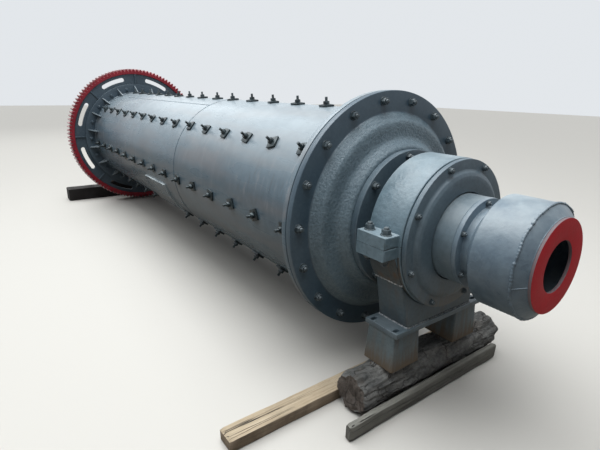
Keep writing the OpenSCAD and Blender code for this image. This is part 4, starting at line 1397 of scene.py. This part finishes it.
SLOTS, SLOT_ANGLE, SLOT_SPAN, SLOT_HALF = 8, 66.5, 20.0, 0.0275
SLOT_MIDDLE_R = (FAR_FLANGE_R + RIM_IN_R) / 2
WEB_T, RIB_HALF = 0.040, 0.009


def facing_axis(x):
    """Turns a flat drawing so that its first axis points up and its thickness runs along the mill at x."""
    return Matrix(((0, 0, 1, x), (0, -1, 0, 0), (1, 0, 0, AXIS_Z), (0, 0, 0, 1)))


RIB = [(FAR_FLANGE_R, -RIB_HALF), (RIM_IN_R, -RIB_HALF), (RIM_IN_R, RIB_HALF), (FAR_FLANGE_R, RIB_HALF)]
rib_place = facing_axis((SHELL_ENDS[0] + RIM_FRONT) / 2)
holes = [arc(SHELL_R - SHELL_WALL, 0, 357.5, 143)]
ribs = []
for k in range(SLOTS):
    a = SLOT_ANGLE + 360 / SLOTS * k
    first, last = a - SLOT_SPAN / 2, a + SLOT_SPAN / 2
    first_middle = arc(SLOT_MIDDLE_R, first, first, 1)[0]
    last_middle = arc(SLOT_MIDDLE_R, last, last, 1)[0]
    holes.append(
        arc(SLOT_MIDDLE_R + SLOT_HALF, first, last, 12)
        + arc(SLOT_HALF, last, last + 180, 8, last_middle)
        + arc(SLOT_MIDDLE_R - SLOT_HALF, last, first, 12)
        + arc(SLOT_HALF, first + 180, first + 360, 8, first_middle)
    )
    swing = Matrix.Rotation(math.radians(a + 180 / SLOTS), 4, "Z")
    ribs.append(cut_plate(RIB, [], RIM_FRONT - SHELL_ENDS[0], 0.003, rib_place @ swing))
web = cut_plate(arc(RIM_IN_R, 0, 358, 179), holes, WEB_T, 0.002, facing_axis(SHELL_ENDS[0] - WEB_T / 2))
place_piece("girth_gear_web", web, flange_paint, "drum", ["gear_web"], sharp=30)
place_piece("girth_gear_ribs", join(ribs), flange_paint, "drum", ["gear_ribs"], sharp=30)

# The drum feeder is rolled and welded from plate: a flange and short cone on the journal,
# a plain drum, and a front cone that narrows to a crimson end ring with the feed opening.

FEEDER_R, PLATE, END_RING_R, FEED_HOLE_R = 0.272, 0.010, 0.221, 0.122
FEEDER_FLANGE_R, NECK_R, NECK_BOLTS_R = 0.231, 0.190, 0.211
# where each of its pieces begins along the mill, and where the last one ends
FEEDER_X, NECK_X, REAR_CONE_X, DRUM_X = 0.268, 0.293, 0.330, 0.385
FRONT_CONE_X, RING_X, END_X = 0.586, 0.632, 0.646
feeder_paint = machine_paint(
    "feeder_paint",
    tone(93, 110, 124),
    tone(123, 140, 152),
    roughness=0.3,
    relief=0.003,
    patch=3.0,
    skin=24.0,
    rust=0.08,
    dust_and_sheen=0.6,
)
neck_profile = [
    (BORE_R, FEEDER_X),
    (FEEDER_FLANGE_R, FEEDER_X),
    (FEEDER_FLANGE_R, NECK_X),
    (NECK_R, NECK_X),
    (NECK_R, REAR_CONE_X),
    (FEEDER_R, DRUM_X),
    (FEEDER_R - PLATE, DRUM_X),
    (NECK_R - PLATE, REAR_CONE_X),
    (NECK_R - PLATE, NECK_X),
    (BORE_R, NECK_X),
]
neck = turned(eased(neck_profile, 0.003), segments=160)
place_piece("feeder_bolted_neck", neck, feeder_paint, "drum", ["feeder_neck"])
neck_bolt = hex_bolt(across_flats=0.022, head=0.012, washer_r=0.015, shank_r=0.006, shank=0.004)
neck_bolts = repeat(neck_bolt, bolt_circle(NECK_BOLTS_R, NECK_X, 6, 6.0, 1, 19))
place_piece("feeder_neck_bolts", neck_bolts, bolt_paint, "drum", sharp=40)
barrel = [
    (FEEDER_R - PLATE, DRUM_X),
    (FEEDER_R, DRUM_X),
    (FEEDER_R, FRONT_CONE_X),
    (FEEDER_R - PLATE, FRONT_CONE_X),
]
rolled_drum = turned(eased(barrel, 0.003))
place_piece("feeder_rolled_drum", rolled_drum, feeder_paint, "drum", ["feeder_drum"])
cone = [
    (FEEDER_R - PLATE, FRONT_CONE_X),
    (FEEDER_R, FRONT_CONE_X),
    (END_RING_R, RING_X),
    (END_RING_R - PLATE, RING_X),
]
front_cone = turned(eased(cone, 0.002))
place_piece("feeder_front_cone", front_cone, feeder_paint, "drum", ["feeder_cone"])

corner_path = []
for k in range(360):
    a = math.radians(k)
    stray = 0.009 * noise.noise(Vector((math.cos(a) * 3, math.sin(a) * 3, 2)))
    corner_path.append(on_drum(k, FEEDER_R - 0.001, FRONT_CONE_X + stray))
ring_path = [on_drum(k * 1.2, END_RING_R + 0.0005, RING_X - 0.001) for k in range(300)]
cone_path = []
for k in range(11):
    radius = FEEDER_R + (END_RING_R - FEEDER_R) * k / 10 - 0.001
    cone_path.append(on_drum(103, radius, FRONT_CONE_X + (RING_X - FRONT_CONE_X) * k / 10))
drum_path = [on_drum(150, FEEDER_R - 0.001, DRUM_X + 0.003 + 0.006 * k) for k in range(33)]
beads = [
    weld_bead(corner_path, 0.006, 51, closed=True, rough=0.55),
    weld_bead(ring_path, 0.0025, 52, closed=True),
    weld_bead(cone_path, 0.0035, 53, rough=0.6),
    weld_bead(drum_path, 0.004, 54),
]
place_piece("feeder_welds", join(beads), feeder_paint, "drum", sharp=80)

# the red has worn off the rims of the end ring, and shows on its face alone
ring_red = machine_paint(
    "ring_red",
    tone(178, 16, 33),
    tone(200, 33, 48),
    roughness=0.5,
    relief=0.0008,
    patch=5.0,
    skin=70.0,
    dust_and_sheen=0.06,
)
tree = ring_red.node_tree
shader = tree.nodes["Principled BSDF"]
_, facing = surface(tree)
on_rim = spread(tree, maths(tree, "ABSOLUTE", facing["X"]), 0.75, 0.45)
red_face = shader.inputs["Base Color"].links[0].from_socket
worn = blend_colour(tree, on_rim, red_face, tone(126, 112, 116))
fill(tree, shader.inputs, {"Base Color": worn, "Specular IOR Level": 0.25})
ring_profile = [
    (FEED_HOLE_R, RING_X),
    (END_RING_R, RING_X),
    (END_RING_R - 0.0005, END_X),
    (FEED_HOLE_R, END_X),
]
end_ring = turned(eased(ring_profile, 0.001), segments=160)
place_piece("feeder_end_ring", end_ring, ring_red, "drum", ["feeder_ring"])

# Each bearing is one ring of ground steel, seated in its housing, in which the journal turns.
# The covers close it in from both sides, so next to nothing of it is seen.

BEARING_IN_R, BEARING_OUT_R, BEARING_HALF = JOURNAL_R + 0.0001, 0.340, 0.080
ground_steel, tree, shader = new_material("ground_steel", roughness=0.3, metallic=1.0)
coat = paint_coat(tree, tone(175, 177, 179), tone(207, 209, 212), patch=12.0, skin=200.0, roughness=0.3)
fill(tree, shader.inputs, {"Base Color": coat["Color"], "Roughness": coat["Roughness"]})
for end, middle_x, _ in BEARINGS:
    start, stop = middle_x - BEARING_HALF, middle_x + BEARING_HALF
    profile = [(BEARING_IN_R, start), (BEARING_OUT_R, start), (BEARING_OUT_R, stop), (BEARING_IN_R, stop)]
    race = turned(eased(profile, 0.002))
    place_piece(end + "_bearing_ring", race, ground_steel, "stand", [end + "_bearing"])

# The floor is plain and pale to the eye, but throws back little light, so the underside of
# the mill stays dark. A wide soft sky lights it from above, a little more on the seen flank.

floor_mesh = bpy.data.meshes.new("floor")
floor_mesh.from_pydata([(-40, -30, 0), (30, -30, 0), (30, 40, 0), (-40, 40, 0)], [], [(0, 1, 2, 3)])
floor = bpy.data.objects.new("floor", floor_mesh)
bpy.context.scene.collection.objects.link(floor)
floor_paint, tree, shader = new_material("floor_paint", roughness=0.9)
in_view = add(tree, "LightPath").outputs["Is Camera Ray"]
floor_tone = blend_colour(tree, in_view, tone(130, 124, 116), tone(208, 204, 198))
fill(tree, shader.inputs, {"Base Color": floor_tone})
floor_mesh.materials.append(floor_paint)

world = bpy.data.worlds.new("soft_sky")
bpy.context.scene.world = world
world.use_nodes = True
tree = world.node_tree
ray = add(tree, "LightPath").outputs
seen = maths(tree, "MAXIMUM", ray["Is Camera Ray"], ray["Is Transmission Ray"])
seen = maths(tree, "MAXIMUM", seen, ray["Is Glossy Ray"])
strength = spread(tree, seen, 0.0, 1.0, 0.115, 0.95)
fill(tree, tree.nodes["Background"].inputs, {"Color": tone(232, 236, 240), "Strength": strength})

SKY_COLOUR = (0.95, 0.985, 1.0)
sky_cap = bpy.data.lights.new("sky_cap", "SUN")
sky_cap.energy = 2.6
sky_cap.angle = math.radians(84)
sky_cap.color = SKY_COLOUR
cap_holder = bpy.data.objects.new("sky_cap", sky_cap)
cap_holder.rotation_euler = (math.radians(9), math.radians(-10), 0)
bpy.context.scene.collection.objects.link(cap_holder)


def soft_lamp(name, place, towards, width, depth, watts):
    lamp = bpy.data.lights.new(name, "AREA")
    lamp.shape = "RECTANGLE"
    lamp.size = width
    lamp.size_y = depth
    lamp.energy = watts
    lamp.color = SKY_COLOUR
    holder = bpy.data.objects.new(name, lamp)
    holder.location = place
    holder.rotation_euler = (Vector(towards) - Vector(place)).to_track_quat("-Z", "Y").to_euler()
    bpy.context.scene.collection.objects.link(holder)


soft_lamp("overhead", (-1.8, -1.0, 6.0), (-1.8, 0.0, 0.9), width=8.0, depth=4.0, watts=260)
soft_lamp("far_sky", (-13.5, -2.0, 8.6), (-2.5, 0.0, 0.9), width=13.0, depth=7.0, watts=330)

# The camera stands at eye height in front of the feeder, where the photograph was taken.
# Its place, tilt and lens bring the flanges, gear and base plate to where they are seen there.

EYE = (1.3868, -1.9386, 1.6738)
YAW, PITCH, ROLL = 0.6338740, 0.3039900, 0.0212293
look = Vector((-math.cos(YAW) * math.cos(PITCH), math.sin(YAW) * math.cos(PITCH), -math.sin(PITCH)))
level = look.cross(Vector((0, 0, 1))).normalized()
upright = level.cross(look)
right = level * math.cos(ROLL) + upright * math.sin(ROLL)
above = upright * math.cos(ROLL) - level * math.sin(ROLL)
lens = bpy.data.cameras.new("eye")
lens.lens = 25.98
lens.sensor_width = 36.0
lens.clip_end = 200
eye = bpy.data.objects.new("eye", lens)
eye.matrix_world = Matrix.Translation(EYE) @ Matrix((right, above, -look)).transposed().to_4x4()
bpy.context.scene.collection.objects.link(eye)
bpy.context.scene.camera = eye
bpy.context.scene.view_settings.view_transform = "Standard"
